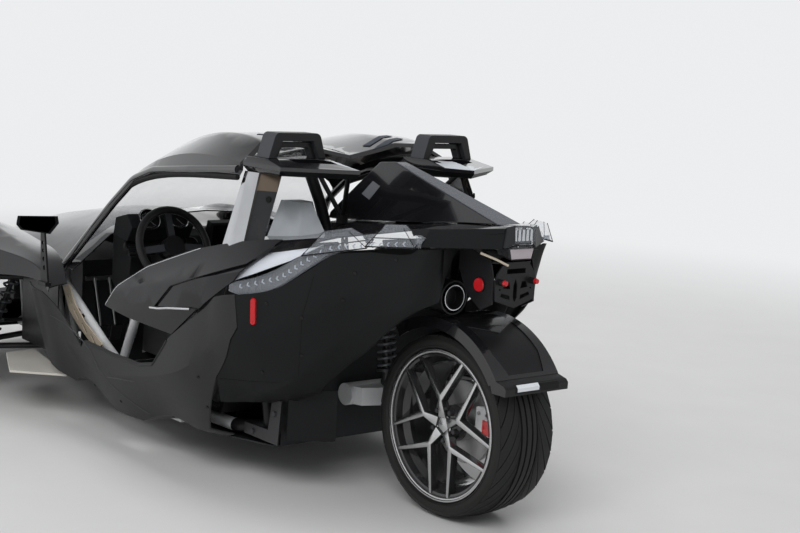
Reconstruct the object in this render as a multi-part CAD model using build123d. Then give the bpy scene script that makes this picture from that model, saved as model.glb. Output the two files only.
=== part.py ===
"""Open two-seat roadster on three wheels: two steered wheels in front, one driven wheel behind.

A tubular frame carries the engine, the floor, two bucket seats and gloss or matte body panels.
Two roll hoops with swept wings stand behind the seats, and a roof spans from them to the windscreen.
Millimetres. Stations along the car are measured forwards (+X) from the rear axle, +Y is the car's
left and +Z is up from the ground. write() shifts everything so that the origin lies on the ground,
midway along the length.
"""
import os
from math import cos, radians, sin

from build123d import *

# Overall
overall_length = 3800.0
overall_width = 1978.0
rear_overhang = 350.0
wheel_base = 2667.0
origin_station = overall_length / 2 - rear_overhang
nose_x = overall_length - rear_overhang

# Wheels: width, radius of the tyre, radius of the bead seat, half the distance between the beads
rear_tyre_width = 265.0
rear_tyre_radius = 333.5
rear_bead_radius = 254.0
rear_bead_half = 116.0
front_tyre_width = 225.0
front_tyre_radius = 330.0
front_bead_radius = 228.6
front_bead_half = 96.0
flange_height = 18.0
flange_width = 8.0
spoke_count = 5
first_spoke = 14.0
hub_radius = 66.0
disc_radius = 150.0
disc_thickness = 22.0
bearing_gap = 0.5

front_y = (overall_width - front_tyre_width) / 2

# Front suspension and steering
kingpin_inset = 70.0
ball_joint_height = 145.0
steering_arm_reach = 105.0
steering_arm_drop = 55.0
rack_clearance = 4.0
arm_tube_radius = 14.0
pivot_y = 330.0

# Frame
rail_radius = 25.0
rail_y = 470.0
rail_z = 185.0
tube_radius = 19.0
floor_z = 160.0
floor_half = 492.0
hoop_leg_x = 584.0
panel_wall = 6.0
firewall_x = 2060.0
bulkhead_x = 560.0

# Cockpit
seat_y = 335.0
column_x = 1470.0
column_z = 780.0
column_tilt = 24.0
wheel_grip_radius = 160.0
wheel_grip_tube = 16.0

# Roll hoops
hoop_x = 583.0
hoop_y = 367.0
hoop_top_z = 1318.0
hoop_base_z = 1225.0
hoop_top_half = 99.0
hoop_base_half = 128.0
hoop_bar = 30.0

# Swingarm and drive
pivot_x = 505.0
pivot_z = 340.0
beam_y = -172.0
pulley_y = -222.0
pulley_radius = 120.0
drive_pulley_radius = 60.0
belt_width = 28.0
belt_thickness = 7.0


def at(*points):
    """Points as vectors."""
    return [Vector(*p) for p in points]


def flat(points):
    """Face bounded by straight lines through points that lie in one plane."""
    return make_face(Polyline(*at(*points), close=True))


def side_plate(outline, low_y, high_y):
    """Solid between two heights of y, with an outline given as (x, z)."""
    face = flat([(x, low_y, z) for x, z in outline])
    return extrude(face, amount=high_y - low_y, dir=(0, 1, 0))


def plan_plate(outline, low_z, high_z):
    """Solid between two heights, with an outline given as (x, y)."""
    face = flat([(x, y, low_z) for x, y in outline])
    return extrude(face, amount=high_z - low_z, dir=(0, 0, 1))


def offset_line(line, wall):
    """The open (y, z) line moved to its left by the wall, corner by corner."""
    moved = []
    for i, (y, z) in enumerate(line):
        before = line[max(i - 1, 0)]
        after = line[min(i + 1, len(line) - 1)]
        run = Vector(after[0] - before[0], after[1] - before[1], 0).normalized()
        moved.append((y - run.Y * wall, z + run.X * wall))
    return moved


def shell(sections, wall, smooth=True):
    """Panel through sections (x, [(y, z), ...]), its wall on the left of each line."""
    faces = []
    for x, line in sections:
        ring = list(line) + offset_line(line, wall)[::-1]
        faces.append(flat([(x, y, z) for y, z in ring]))
    return loft(faces, ruled=not smooth)


def tube(points, radius, bend=60.0):
    """Round bar along straight runs with one bend radius."""
    path = FilletPolyline(*at(*points), radius=bend) if len(points) > 2 else Line(*at(*points))
    return sweep((path ^ 0) * Circle(radius), path)


def rod(start, end, radius):
    """Straight round bar between two points."""
    start, end = at(start, end)
    plane = Plane(origin=start, z_dir=end - start)
    return plane.location * extrude(Circle(radius), amount=(end - start).length)


def cross_disc(x, y, z, radius, width):
    """Disc whose axis lies along Y, from y to y + width."""
    plane = Plane(origin=(x, y, z), x_dir=(1, 0, 0), z_dir=(0, 1, 0))
    return plane.location * extrude(Circle(radius), amount=width)


def mirrored(part):
    return mirror(part, about=Plane.XZ)


def pair(part):
    """A left-hand piece with its right-hand twin."""
    return [part, mirrored(part)]


def write(name, pieces):
    """One node: its solids, moved from the rear axle's station to the part's origin."""
    pieces = pieces if isinstance(pieces, list) else [pieces]
    solids = [s for piece in pieces for s in piece.solids()]
    moved = [Pos(-origin_station, 0, 0) * s for s in solids]
    export_step(moved[0] if len(moved) == 1 else Compound(moved), f"parts/{name}.step")


# Wheels, built about the Y axis at the origin and then set at their axles


def tyre(width, radius, bead_radius, bead_half):
    """Ring with a slightly crowned tread and bulging side walls."""
    lip = bead_radius + flange_height
    bulge = bead_radius + 0.55 * (radius - bead_radius)
    shoulder = radius - 11
    tread_half = 0.45 * width
    right = ThreePointArc((lip, bead_half), (bulge, width / 2), (shoulder, tread_half))
    crown = ThreePointArc((shoulder, tread_half), (radius, 0), (shoulder, -tread_half))
    left = ThreePointArc((shoulder, -tread_half), (bulge, -width / 2), (lip, -bead_half))
    inside = Polyline((lip, -bead_half), (bead_radius, -bead_half), (bead_radius, bead_half), (lip, bead_half))
    return revolve(make_face(right + crown + left + inside), Axis.Y)


def rim(bead_radius, bead_half):
    """Barrel with two flanges and five wide Y spokes whose arms end in pairs at the flange."""
    lip = bead_radius + flange_height
    seat = bead_radius - 0.5
    well = seat - 22
    edge = bead_half + flange_width
    inner = bead_half + 0.5
    half = [(lip, edge), (lip, inner), (seat, inner), (seat, bead_half - 34), (well, bead_half - 50)]
    back = [(well - 7, bead_half - 52), (seat - 8, bead_half - 34), (seat - 8, edge - 10), (lip - 5, edge)]
    outline = half + [(r, -y) for r, y in half[::-1]] + [(r, -y) for r, y in back[::-1]] + back
    barrel = revolve(make_face(Polyline(*outline, close=True)), Axis.Y)

    # spoke outline in the wheel's plane: stem to a fork, then two arms out to the barrel
    fork = 0.38 * bead_radius
    arm_angle = radians(27)
    reach = bead_radius - 4
    stem = 15.0
    arm = 10.0
    spokes = []
    for i in range(spoke_count):
        turn = first_spoke + 360 / spoke_count * i
        body = [extrude(Pos(fork / 2, 0) * Rectangle(fork, 2 * stem), amount=200, both=True)]
        for sign in (1, -1):
            end = Vector(reach * cos(arm_angle), sign * reach * sin(arm_angle))
            run = end - Vector(fork - stem, 0)
            angle = sign * abs(Vector(1, 0, 0).get_angle(Vector(run.X, run.Y, 0)))
            bar = Pos(run.length / 2, 0) * Rectangle(run.length, 2 * arm)
            body.append(extrude(Pos(fork - stem, 0) * (Rot(0, 0, angle) * bar), amount=200, both=True))
        spokes.append(Rot(0, 0, turn) * (body[0] + body[1] + body[2]))
    star = Rot(90, 0, 0) * (spokes[0] + spokes[1:])
    dish = [(0, bead_half - 62), (hub_radius, bead_half - 56), (reach, edge - 34), (reach, edge - 5),
            (fork, edge - 7), (34, bead_half - 22), (0, bead_half - 22)]
    star = star & revolve(make_face(Polyline(*dish, close=True)), Axis.Y)
    hub = cross_disc(0, bead_half - 74, 0, hub_radius, 50)
    cap = cross_disc(0, bead_half - 30, 0, 33, 14)
    bolts = [Rot(0, 36 + 72 * i, 0) * cross_disc(55, bead_half - 30, 0, 7.5, 10) for i in range(spoke_count)]
    return barrel + star + hub + cap + bolts


def disc(hub_face):
    """Brake disc with its bell, which seats against the wheel's hub at hub_face."""
    bell = hub_face - 40
    rotor = cross_disc(0, bell - disc_thickness, 0, disc_radius, disc_thickness)
    rotor -= cross_disc(0, bell - disc_thickness, 0, disc_radius - 58, disc_thickness)
    hat = cross_disc(0, bell - 8, 0, disc_radius - 58, 8) + cross_disc(0, bell, 0, hub_radius, 39.5)
    return rotor + hat


os.makedirs("parts", exist_ok=True)

rear_tyre = Pos(0, 0, rear_tyre_radius) * tyre(
    rear_tyre_width, rear_tyre_radius, rear_bead_radius, rear_bead_half)
rear_rim = Pos(0, 0, rear_tyre_radius) * rim(rear_bead_radius, rear_bead_half)
front_tyre = tyre(front_tyre_width, front_tyre_radius, front_bead_radius, front_bead_half)
front_rim = rim(front_bead_radius, front_bead_half)
front_hub_face = front_bead_half - 74
front_disc = disc(front_hub_face) - cross_disc(0, -200, 0, 32, 200 + front_hub_face - 6)

write("rear_tyre", rear_tyre)
write("rear_rim", rear_rim)
for side, y, turn in (("left", front_y, 0), ("right", -front_y, 180)):
    place = Pos(wheel_base, y, front_tyre_radius) * Rot(0, 0, turn)
    write(f"front_{side}_tyre", place * front_tyre)
    write(f"front_{side}_rim", place * front_rim)
    write(f"front_{side}_disc", place * front_disc)

# Rear hub: brake disc inside the wheel, a shaft through the arm's carrier and the toothed pulley outside
hub_face = rear_bead_half - 74
rear_rotor = disc(hub_face)
shaft = cross_disc(0, pulley_y - belt_width / 2 - 12, 0, 25, hub_face - 48 - pulley_y + belt_width / 2 + 12)
pulley = cross_disc(0, pulley_y - belt_width / 2, 0, pulley_radius, belt_width)
pulley -= [Rot(0, 72 * i, 0) * cross_disc(75, pulley_y - belt_width / 2, 0, 27, belt_width) for i in range(5)]
write("rear_hub", Pos(0, 0, rear_tyre_radius) * (rear_rotor + shaft + pulley))

# Front knuckle: upright between two ball joints, stub axle, steering arm and brake caliper
kingpin_y = front_y - kingpin_inset
axle_z = front_tyre_radius
stub_end = front_y + front_hub_face - 6.5
upright = rod((wheel_base, kingpin_y, axle_z - ball_joint_height),
              (wheel_base, kingpin_y, axle_z + ball_joint_height), 20)
stub = cross_disc(wheel_base, kingpin_y - 26, axle_z, 44, 40) + cross_disc(
    wheel_base, kingpin_y, axle_z, 31, stub_end - kingpin_y)
arm_end = Vector(wheel_base + steering_arm_reach, kingpin_y, axle_z - steering_arm_drop)
arm_root = Vector(wheel_base, kingpin_y, axle_z - steering_arm_drop)
steer_arm = rod(arm_root, arm_root + (arm_end - arm_root) * 0.92, 12)
steer_arm += Pos(arm_end.X, arm_end.Y, arm_end.Z) * Cylinder(18, 26)
caliper_y = front_y + front_hub_face - 40 - disc_thickness
caliper = side_plate([(-185, -70), (-95, -62), (-95, 62), (-185, 70)], caliper_y - 22, caliper_y + disc_thickness + 22)
caliper = Pos(wheel_base, 0, axle_z) * fillet(caliper.edges().filter_by(Axis.Y), 18)
caliper -= cross_disc(wheel_base, caliper_y - 5, axle_z, disc_radius + 5, disc_thickness + 10)
bracket = side_plate([(-110, -30), (0, -30), (0, 30), (-110, 30)], caliper_y - 22, caliper_y - 8)
knuckle = upright + stub + steer_arm + caliper + Pos(wheel_base, 0, axle_z) * bracket
write("front_left_knuckle", knuckle)
write("front_right_knuckle", mirrored(knuckle))

# Wishbones: a lower and an upper V on each side, from frame pivots to eyes on the upright
eye = 34.0
lower_z = axle_z - ball_joint_height - 20
upper_z = axle_z + ball_joint_height + 20
arms = []
for z, inner_y, front, back in ((lower_z, pivot_y, 165, 165), (upper_z, pivot_y + 50, 150, 150)):
    tip = (wheel_base, kingpin_y, z)
    arm = rod((wheel_base + front, inner_y, z), tip, arm_tube_radius)
    arm += rod((wheel_base - back, inner_y, z), tip, arm_tube_radius)
    arm += Pos(*tip) * Cylinder(eye / 2 + 8, 30)
    for x in (wheel_base + front, wheel_base - back):
        arm += Pos(x, inner_y, z) * (Rot(0, 90, 0) * Cylinder(20, 44))
    arms.append(arm)
lower_seat = rod((wheel_base - 70, 620, lower_z), (wheel_base + 70, 620, lower_z), 12)
arms[0] = arms[0] + lower_seat
write("front_arms", pair(arms[0]) + pair(arms[1]))


def damper(low, high, spring_radius):
    """Coil spring over a damper body, drawn as a ribbed sleeve, with an eye at each end."""
    low, high = at(low, high)
    run = high - low
    plane = Plane(origin=low, x_dir=(1, 0, 0), z_dir=run)
    length = run.length
    turns = 7
    pitch = (length - 110) / turns
    outline = [(0, 0), (16, 0), (16, 40), (spring_radius + 3, 40), (spring_radius + 3, 52)]
    for i in range(turns):
        low_z = 55 + pitch * i
        outline += [(18, low_z), (spring_radius, low_z + 0.25 * pitch), (spring_radius, low_z + 0.6 * pitch),
                    (18, low_z + 0.85 * pitch)]
    outline += [(spring_radius + 3, length - 52), (spring_radius + 3, length - 40), (16, length - 40),
                (16, length), (0, length)]
    body = revolve(make_face(Polyline(*outline, close=True)), Axis.Y)
    body = Rot(90, 0, 0) * body
    eyes = [Pos(0, 0, z) * (Rot(0, 90, 0) * Cylinder(19, 33)) for z in (0, length)]
    return plane.location * (body + eyes)


front_damper = damper((wheel_base, 600, lower_z + 36), (wheel_base, 430, 610), 36)
rear_damper = damper((415, 20, pivot_z + 34 + 21), (450, 20, 690), 38)
write("dampers", pair(front_damper) + [rear_damper])

# Steering rack: the bar with its two tie rods, each eye below its steering arm's boss
eye_z = arm_end.Z - 13 - rack_clearance - 12
rack_x = arm_end.X
rack_bar = rod((rack_x, -300, eye_z), (rack_x, 300, eye_z), 13)
rods = rack_bar
for sign in (1, -1):
    rods += rod((rack_x, sign * 290, eye_z), (rack_x, sign * arm_end.Y, eye_z), 9)
    rods += Pos(rack_x, sign * arm_end.Y, eye_z) * Cylinder(16, 22)
    rods += rod((rack_x, sign * 285, eye_z), (rack_x, sign * 330, eye_z), 19)
write("tie_rods", rods)

# Swingarm: pivot tube across the frame, a beam along the right of the wheel and the hub carrier
axle_rear_z = rear_tyre_radius
pivot = cross_disc(pivot_x, -150, pivot_z, 42, 300)
beam = side_plate([(pivot_x + 30, pivot_z - 45), (pivot_x + 30, pivot_z + 48), (250, pivot_z + 62),
                   (60, axle_rear_z + 60), (-60, axle_rear_z + 45), (-60, axle_rear_z - 50),
                   (200, pivot_z - 50)], beam_y - 20, beam_y + 22)
elbow = plan_plate([(pivot_x + 30, -60), (pivot_x + 30, beam_y - 20), (340, beam_y - 20), (355, beam_y + 22),
                    (400, 20), (440, 120), (pivot_x, 140)], pivot_z - 34, pivot_z + 34)
carrier_end = hub_face - 40 - disc_thickness - 5
carrier = cross_disc(0, beam_y - 24, axle_rear_z, 62, carrier_end - beam_y + 24)
swingarm = pivot + beam + elbow + carrier
swingarm -= cross_disc(0, beam_y - 60, axle_rear_z, 25 + bearing_gap, 300)
rear_caliper = side_plate([(-190, -40), (-88, -40), (-88, 78), (-175, 90)],
                          carrier_end - 20, carrier_end + disc_thickness + 30)
rear_caliper = Pos(0, 0, axle_rear_z) * rear_caliper
rear_caliper -= cross_disc(0, carrier_end, axle_rear_z, disc_radius + 5, disc_thickness + 10)
caliper_arm = side_plate([(-120, -30), (0, -35), (0, 35), (-120, 50)], carrier_end - 20, carrier_end - 8)
caliper_arm = Pos(0, 0, axle_rear_z) * caliper_arm
caliper_arm -= cross_disc(0, beam_y - 60, axle_rear_z, 25 + bearing_gap, 300)
swingarm = swingarm + caliper_arm + rear_caliper
swingarm += rod((250, beam_y, pivot_z + 30), (250, beam_y, pivot_z + 62), 18)
write("swingarm", swingarm)

# Drive belt: one closed loop round the rear pulley and the gearbox pulley
drive_x = 595.0
drive_z = 330.0
rise = pulley_radius - drive_pulley_radius


def belt_outline(grow):
    low = Pos(0, axle_rear_z) * Circle(pulley_radius + grow)
    high = Pos(drive_x, drive_z) * Circle(drive_pulley_radius + grow)
    return make_hull(low.edges() + high.edges())


belt = extrude(belt_outline(belt_thickness + 1) - belt_outline(1), amount=belt_width)
belt = Pos(0, pulley_y - belt_width / 2 + belt_width, 0) * (Rot(90, 0, 0) * belt)
write("drive_belt", belt)

# Angle drive: housing behind the seats with the belt's front pulley on its output shaft
drive_face = pulley_y + belt_width / 2
housing = Pos(drive_x + 5, -150, drive_z) * Box(100, 90, 120)
housing = fillet(housing.edges().filter_by(Axis.Y), 24)
housing += cross_disc(drive_x, drive_face + 6, drive_z, 42, -195 - drive_face - 4)
front_pulley = cross_disc(drive_x, drive_face - belt_width, drive_z, drive_pulley_radius - 1, belt_width + 8)
front_pulley += cross_disc(drive_x, drive_face - belt_width - 6, drive_z, 22, 8)
angle_drive = housing + front_pulley
write("angle_drive", angle_drive)

# Frame: two bent lower rails with their uprights, and the cross tubes between them
rail = tube([(430, 290, 235), (760, rail_y, rail_z + 15), (1900, rail_y, rail_z),
             (2350, pivot_y - 45, rail_z), (2990, pivot_y - 45, rail_z + 10)], rail_radius, 140)
shoulder = tube([(hoop_leg_x + 10, rail_y - 40, 230), (hoop_leg_x, rail_y + 75, 860), (1150, rail_y + 90, 660),
                 (1440, rail_y + 35, 545), (1640, rail_y + 20, rail_z)], tube_radius, 70)
dash_leg = tube([(1500, rail_y, rail_z), (1600, 580, 375), (1930, 590, 570), (2080, 560, 600)], tube_radius, 45)
top_rail = tube([(2080, 560, 600), (2400, 360, 610), (2880, 345, 565), (2940, pivot_y - 45, rail_z)], tube_radius, 50)
front_legs = []
for x, top_z in ((2400, 606), (wheel_base - 150, 594), (wheel_base + 150, 568)):
    front_legs.append(rod((x, pivot_y - 45, rail_z), (x, 355, top_z), 15))
for x in (wheel_base - 150, wheel_base + 150):
    front_legs.append(Pos(x, 343, upper_z) * Box(30, 32, 24))
jack_pad = Pos(1150, rail_y, rail_z - 30) * Box(120, 70, 40)
side_frame = rail + shoulder + dash_leg + front_legs + top_rail + jack_pad
write("frame_rails", pair(side_frame))
cross = []
cross_tubes = [(2955, rail_z + 10, 285, 22), (2832, lower_z, 285, 18), (2502, lower_z, 285, 18),
               (hoop_leg_x + 4, 600, 490, 14)]
for x, z, half, radius in cross_tubes:
    bar = rod((x, -half, z), (x, half, z), radius) - pair(side_frame)
    cross.append(bar.solids().sort_by(SortBy.VOLUME)[-1])
write("frame_cross_tubes", cross)

# Engine and gearbox, one closed block each way along the middle
engine = Pos(2400, 0, 455) * Box(560, 420, 480)
gearbox = Pos(1870, 0, 330) * Box(500, 240, 260)
write("engine", engine + gearbox)

# Floor: a flat pan with a firewall in front and a bulkhead behind the seats
pan = plan_plate([(bulkhead_x, -420), (760, -floor_half), (1850, -floor_half), (firewall_x, -430),
                  (firewall_x, 430), (1850, floor_half), (760, floor_half), (bulkhead_x, 420)], floor_z - 6, floor_z)
pan -= pair(jack_pad)

# Body panels on the left side are made first and mirrored. Lines are (y, z) from the low edge upwards.
wall = panel_wall

# Side surface: one sweep from the cowl's corner to the tail, cut below into the pod and the rear quarter.
# It bellies out beside the cockpit and tucks in behind, where it clears the wheel.
side_sections = [
    (1905, [(655, 300), (700, 345), (735, 440), (772, 592)]),
    (1700, [(560, 170), (655, 185), (712, 370), (772, 585)]),
    (1450, [(540, 146), (625, 150), (712, 315), (716, 440)]),
    (1150, [(520, 140), (610, 150), (722, 330), (704, 470)]),
    (850, [(500, 150), (600, 186), (730, 400), (706, 600)]),
    (730, [(488, 172), (602, 205), (722, 450), (704, 655)]),
    (620, [(470, 275), (596, 330), (694, 535), (700, 715)]),
    (480, [(396, 318), (556, 400), (662, 600), (688, 758)]),
    (347, [(306, 368), (506, 460), (588, 650), (594, 800)]),
    (243, [(292, 496), (428, 590), (508, 730), (520, 892)]),
    (100, [(282, 628), (350, 710), (395, 810), (408, 950)]),
    (-40, [(212, 752), (255, 830), (290, 900), (305, 976)]),
    (-231, [(30, 890), (54, 935), (68, 962), (76, 984)]),
]
side_surface = shell(side_sections, wall)

# Side pod: matte tub side that tapers up to the cowl's corner and reaches up behind the blade
pod_outline = [(1900, 590), (1752, 572), (1600, 420), (1545, 368), (1522, 396), (1490, 408), (1280, 398),
               (1067, 400), (960, 424), (900, 490), (866, 536), (660, 676), (500, 792), (478, 760), (481, 640),
               (560, 520), (631, 427), (690, 300), (735, 192), (735, 130), (1540, 130), (1640, 165), (1800, 250),
               (1890, 330)]
pod = side_surface & side_plate(pod_outline, 300, 900)
write("side_pods", pair(pod))

# Kick strip: slotted plate along the step-in edge, inside the pod's front arm
kick_curve = [(1862, 566), (1800, 478), (1730, 430), (1560, 350)]
kick_back = [(1500, 382), (1660, 448), (1745, 508), (1810, 585)]
kick = side_plate(kick_curve + kick_back, 632, 638)
slots = []
for x, z in ((1580, 385), (1660, 421), (1735, 468), (1795, 522)):
    slot = SlotOverall(58, 12)
    slots.append(Pos(x, 635, z) * (Rot(0, -40, 0) * (Rot(90, 0, 0) * extrude(slot, amount=20, both=True))))
kick = kick - slots
write("kick_strips", pair(kick))

# Side blade: gloss panel that sweeps from a point beside the seat up and back over the shoulder
blade_sections = [
    (1400, [(706, 500), (716, 560), (716, 620), (690, 700)]),
    (1150, [(704, 500), (722, 600), (716, 680), (672, 780)]),
    (900, [(690, 500), (722, 640), (712, 740), (640, 850)]),
    (650, [(690, 560), (716, 700), (700, 800), (600, 915)]),
    (380, [(670, 640), (680, 790), (650, 870), (540, 960)]),
]
blade_outline = [(1345, 577), (1262, 672), (1090, 772), (880, 852), (753, 900), (591, 960), (400, 960),
                 (500, 802), (660, 686), (868, 546), (1165, 558)]
recess_outline = [(961, 638), (866, 729), (466, 868), (380, 960), (300, 960), (480, 790), (640, 672), (699, 672)]
blade_wall = 10.0
recess_depth = 8.0
blade = shell(blade_sections, blade_wall) - side_plate(recess_outline, 400, 900)
sunk_sections = [(x, offset_line(line, recess_depth)) for x, line in blade_sections]
recess_floor = [(985, 630), (868, 745), (466, 884), (380, 960), (300, 960), (470, 780), (640, 660), (699, 655)]
sunk = shell(sunk_sections, wall) & side_plate(recess_floor, 400, 900)
blade = (blade + sunk) & side_plate(blade_outline, 400, 900)
write("side_blades", pair(blade))

# Rear quarter: matte panel from the pod's seam back to the tail
quarter_outline = [(627, 427), (644, 331), (560, 334), (450, 350), (355, 401), (243, 532), (100, 660), (-60, 795),
                   (-140, 912), (-190, 954), (-224, 964), (-224, 984), (-40, 974), (190, 934), (243, 884), (347, 798), (430, 770),
                   (474, 758), (477, 638), (556, 518)]
quarter = side_surface & side_plate(quarter_outline, 60, 900)

# Lower rear panels: a bracket plate along the rail and the splash plate ahead of the wheel
bracket_plate = side_plate([(700, 184), (700, 226), (548, 230), (528, 352), (470, 352), (484, 184)], 462, 468)
splash = plan_plate([(452, 452), (446, 454), (354, 302), (360, 298)], 210, 400)

# Shoulder lamps: clear strips along the shoulder with two raised prisms each
lamp_sections = [
    (505, [(694, 768), (692, 790), (668, 800)]),
    (347, [(592, 806), (588, 850), (548, 888)]),
    (243, [(520, 900), (514, 930), (484, 958)]),
    (190, [(476, 942), (470, 965), (440, 985)]),
    (-40, [(306, 980), (302, 1000), (285, 1020)]),
]
strip = shell(lamp_sections, 16)
prisms = []
for x, y, z, length, rise in ((215, 446, 948, 236, 12), (42, 343, 984, 172, 3)):
    base = Rectangle(length, 96)
    crest = Pos(-0.04 * length, 0, 62) * Rectangle(0.42 * length, 38)
    prisms.append(Pos(x, y, z) * (Rot(0, 0, 36.5) * (Rot(-12, rise, 0) * loft([base, crest], ruled=True))))
lamp = strip + prisms
write("shoulder_lamps", pair(lamp))
quarter -= lamp
quarter -= side_frame
bracket_plate -= side_frame
splash -= side_frame
write("rear_quarters", pair(quarter) + pair(bracket_plate) + pair(splash))

# Deck: gloss top between the shoulders, from the seats to the tail, raised along the middle under the fin
deck_sections = [
    (700, [(612, 862), (556, 912), (300, 936), (150, 972), (0, 984)]),
    (450, [(566, 900), (500, 948), (290, 964), (150, 996), (0, 1006)]),
    (243, [(482, 950), (430, 985), (240, 1002), (130, 1018), (0, 1024)]),
    (0, [(312, 1010), (288, 1038), (180, 1046), (90, 1050), (0, 1052)]),
    (-214, [(77, 1044), (70, 1060), (44, 1066), (22, 1068), (0, 1068)]),
]
deck = shell(deck_sections, wall, smooth=False)
skirt_sections = [
    (-46, [(296, 982), (280, 1004), (263, 1040)]),
    (-214, [(82, 990), (78, 1010), (70, 1056)]),
]
deck += shell(skirt_sections, wall, smooth=False)
deck = (deck + mirrored(deck)) - pair(lamp) - pair(quarter)
write("rear_deck", deck)

# Fin: wedge along the middle of the deck, its sides closing in towards the top and towards the tail
deck_middle = [(x, line[-1][1] + 1) for x, line in deck_sections[:-1]]
fin_outline = [(-165, 1066)] + deck_middle[::-1] + [(729, 985), (729, 1008), (520, 1219), (432, 1227)]
fin = side_plate(fin_outline, -110, 110)
wedge_rings = [
    (760, [(-104, 975), (104, 975), (34, 1235), (-34, 1235)]),
    (432, [(-100, 980), (100, 980), (24, 1235), (-24, 1235)]),
    (-255, [(-66, 1000), (66, 1000), (16, 1235), (-16, 1235)]),
]
wedge = loft([flat([(x, y, z) for y, z in ring]) for x, ring in wedge_rings], ruled=True)
fin = (fin & wedge) - deck
write("rear_fin", fin.solids().sort_by(SortBy.VOLUME)[-1])

# Headrest fairings: pale faceted humps on the deck behind each seat
hump_foot = [(700, 405), (640, 405), (510, 390), (505, 262), (560, 247), (700, 247)]
hump_crest = [(695, 352), (668, 352), (600, 330), (592, 288), (620, 262), (695, 262)]
hump = loft([flat([(x, y, z) for x, y in ring]) for ring, z in ((hump_foot, 925), (hump_crest, 1062))], ruled=True)
hump = (hump - deck).solids().sort_by(Axis.Z)[-1]
write("headrest_humps", pair(hump))

# Roll hoops: two open trapezoids with a smaller bar inside each
hoop_outer = [(hoop_y - hoop_base_half, hoop_base_z), (hoop_y + hoop_base_half, hoop_base_z),
              (hoop_y + hoop_top_half, hoop_top_z), (hoop_y - hoop_top_half, hoop_top_z)]


def hoop(bar, depth, drop, grow):
    """Trapezoid frame of one bar width, standing across the car."""
    slope = (hoop_base_half - hoop_top_half) / (hoop_top_z - hoop_base_z)
    low, high = hoop_base_z, hoop_top_z - drop
    base = hoop_base_half + grow
    top = hoop_base_half + grow - slope * (high - low)
    outer = flat([(0, -base, low), (0, base, low), (0, top, high), (0, -top, high)])
    inner = flat([(0, -base + bar, low - 1), (0, base - bar, low - 1), (0, top - bar, high - bar),
                  (0, -top + bar, high - bar)])
    frame = extrude(outer, amount=depth, dir=(1, 0, 0)) - extrude(inner, amount=depth, dir=(1, 0, 0))
    corners = frame.edges().filter_by(Axis.X).group_by(Axis.Z)
    return fillet(corners[-1], 24)


big = hoop(hoop_bar, 80, 0, 0)
small = hoop(20, 26, 34, -hoop_bar - 1)
hoops = Pos(hoop_x, hoop_y, 0) * (big + Pos(20, 0, 0) * small)

# Hoop wings: swept wedges under and behind each hoop, each with a pocket behind the hoop's legs
wing_low = [(700, 505), (500, 505), (350, 283), (455, 240), (700, 240)]
wing_edge = [(706, 522), (474, 518), (326, 276), (440, 226), (706, 226)]
wing_top = [(700, 512), (590, 505), (470, 300), (560, 238), (700, 238)]


def between(low_ring, low_z, high_ring, high_z):
    """Faceted solid between two level rings of (x, y) with the same number of corners."""
    return loft([flat([(x, y, z) for x, y in ring]) for ring, z in ((low_ring, low_z), (high_ring, high_z))],
                ruled=True)


wing = between(wing_low, 1170, wing_edge, 1190) + between(wing_edge, 1190, wing_edge, 1204)
wing += between(wing_edge, 1204, wing_top, hoop_base_z)
pocket = plan_plate([(575, 432), (505, 430), (430, 300), (575, 292)], 1198, hoop_base_z + 5)
wing = wing - pocket
write("roll_hoops", pair(hoops))
write("hoop_wings", pair(wing))

# Hoop posts: outboard a faceted pillar with its panel, strut and foot, inboard a tube and a V brace
pillar_foot = [(700, 604), (640, 614), (576, 600), (590, 562), (690, 562)]
pillar_head = [(704, 512), (680, 516), (622, 506), (626, 470), (698, 470)]
panel_foot = [(586, 588), (520, 554), (526, 546), (592, 580)]
panel_head = [(626, 498), (560, 452), (566, 444), (632, 490)]
foot_ring = [(590, 552), (482, 500), (520, 462), (604, 490)]
foot_tip = [(573, 506), (560, 500), (566, 490), (577, 496)]
post = between(pillar_foot, 890, pillar_head, 1172)
side_panel_post = between(panel_foot, 910, panel_head, 1172)
foot = between(foot_ring, 925, foot_tip, 1002)
strut = rod((546, 432, 1174), (568, 500, 960), 15)
main_tube = tube([(650, 262, 1174), (640, 214, 1060), (636, 180, 960)], 22, 120)
brace = rod((596, 262, 1174), (556, 172, 1012), 9) + rod((412, 262, 1174), (548, 172, 1012), 9)
brace += Pos(552, 172, 1004) * Box(40, 24, 34)


def upper(solid):
    """What stands above the deck and outboard panels, as one solid."""
    return (solid - deck - blade - quarter - lamp).solids().sort_by(SortBy.VOLUME)[-1]


below_wing = plan_plate([(300, 100), (900, 100), (900, 700), (300, 700)], 880, 1170)
outer_post = upper((post + side_panel_post + foot + strut) & below_wing)
inner_posts = [upper((solid & below_wing) - hump - fin) for solid in (main_tube, brace)]
write("hoop_posts", pair(outer_post) + pair(inner_posts[0]) + pair(inner_posts[1]))

# Exhaust: silencer on a strap under the deck, its pipe showing inside the open end
can_y, can_z = 100.0, 793.0
can = Pos(120, can_y, can_z) * (Rot(0, 90, 0) * Cylinder(62, 270))
can = fillet(can.edges().sort_by(Axis.X)[-1], 26)
can -= Pos(-2, can_y, can_z) * (Rot(0, 90, 0) * Cylinder(55, 40))
pipe = Pos(10, can_y, can_z) * (Rot(0, 90, 0) * (Cylinder(42, 62) - Cylinder(38, 62)))
lead_pipe = tube([(250, can_y, can_z), (420, can_y, can_z), (540, can_y, 700)], 22, 60)
strap = plan_plate([(110, can_y - 12), (140, can_y - 12), (140, can_y + 12), (110, can_y + 12)], 845, 1060)
exhaust = can + pipe + lead_pipe + strap
exhaust = (exhaust - deck - fin).solids().sort_by(Axis.Z)[0]
write("exhaust", exhaust)

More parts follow.
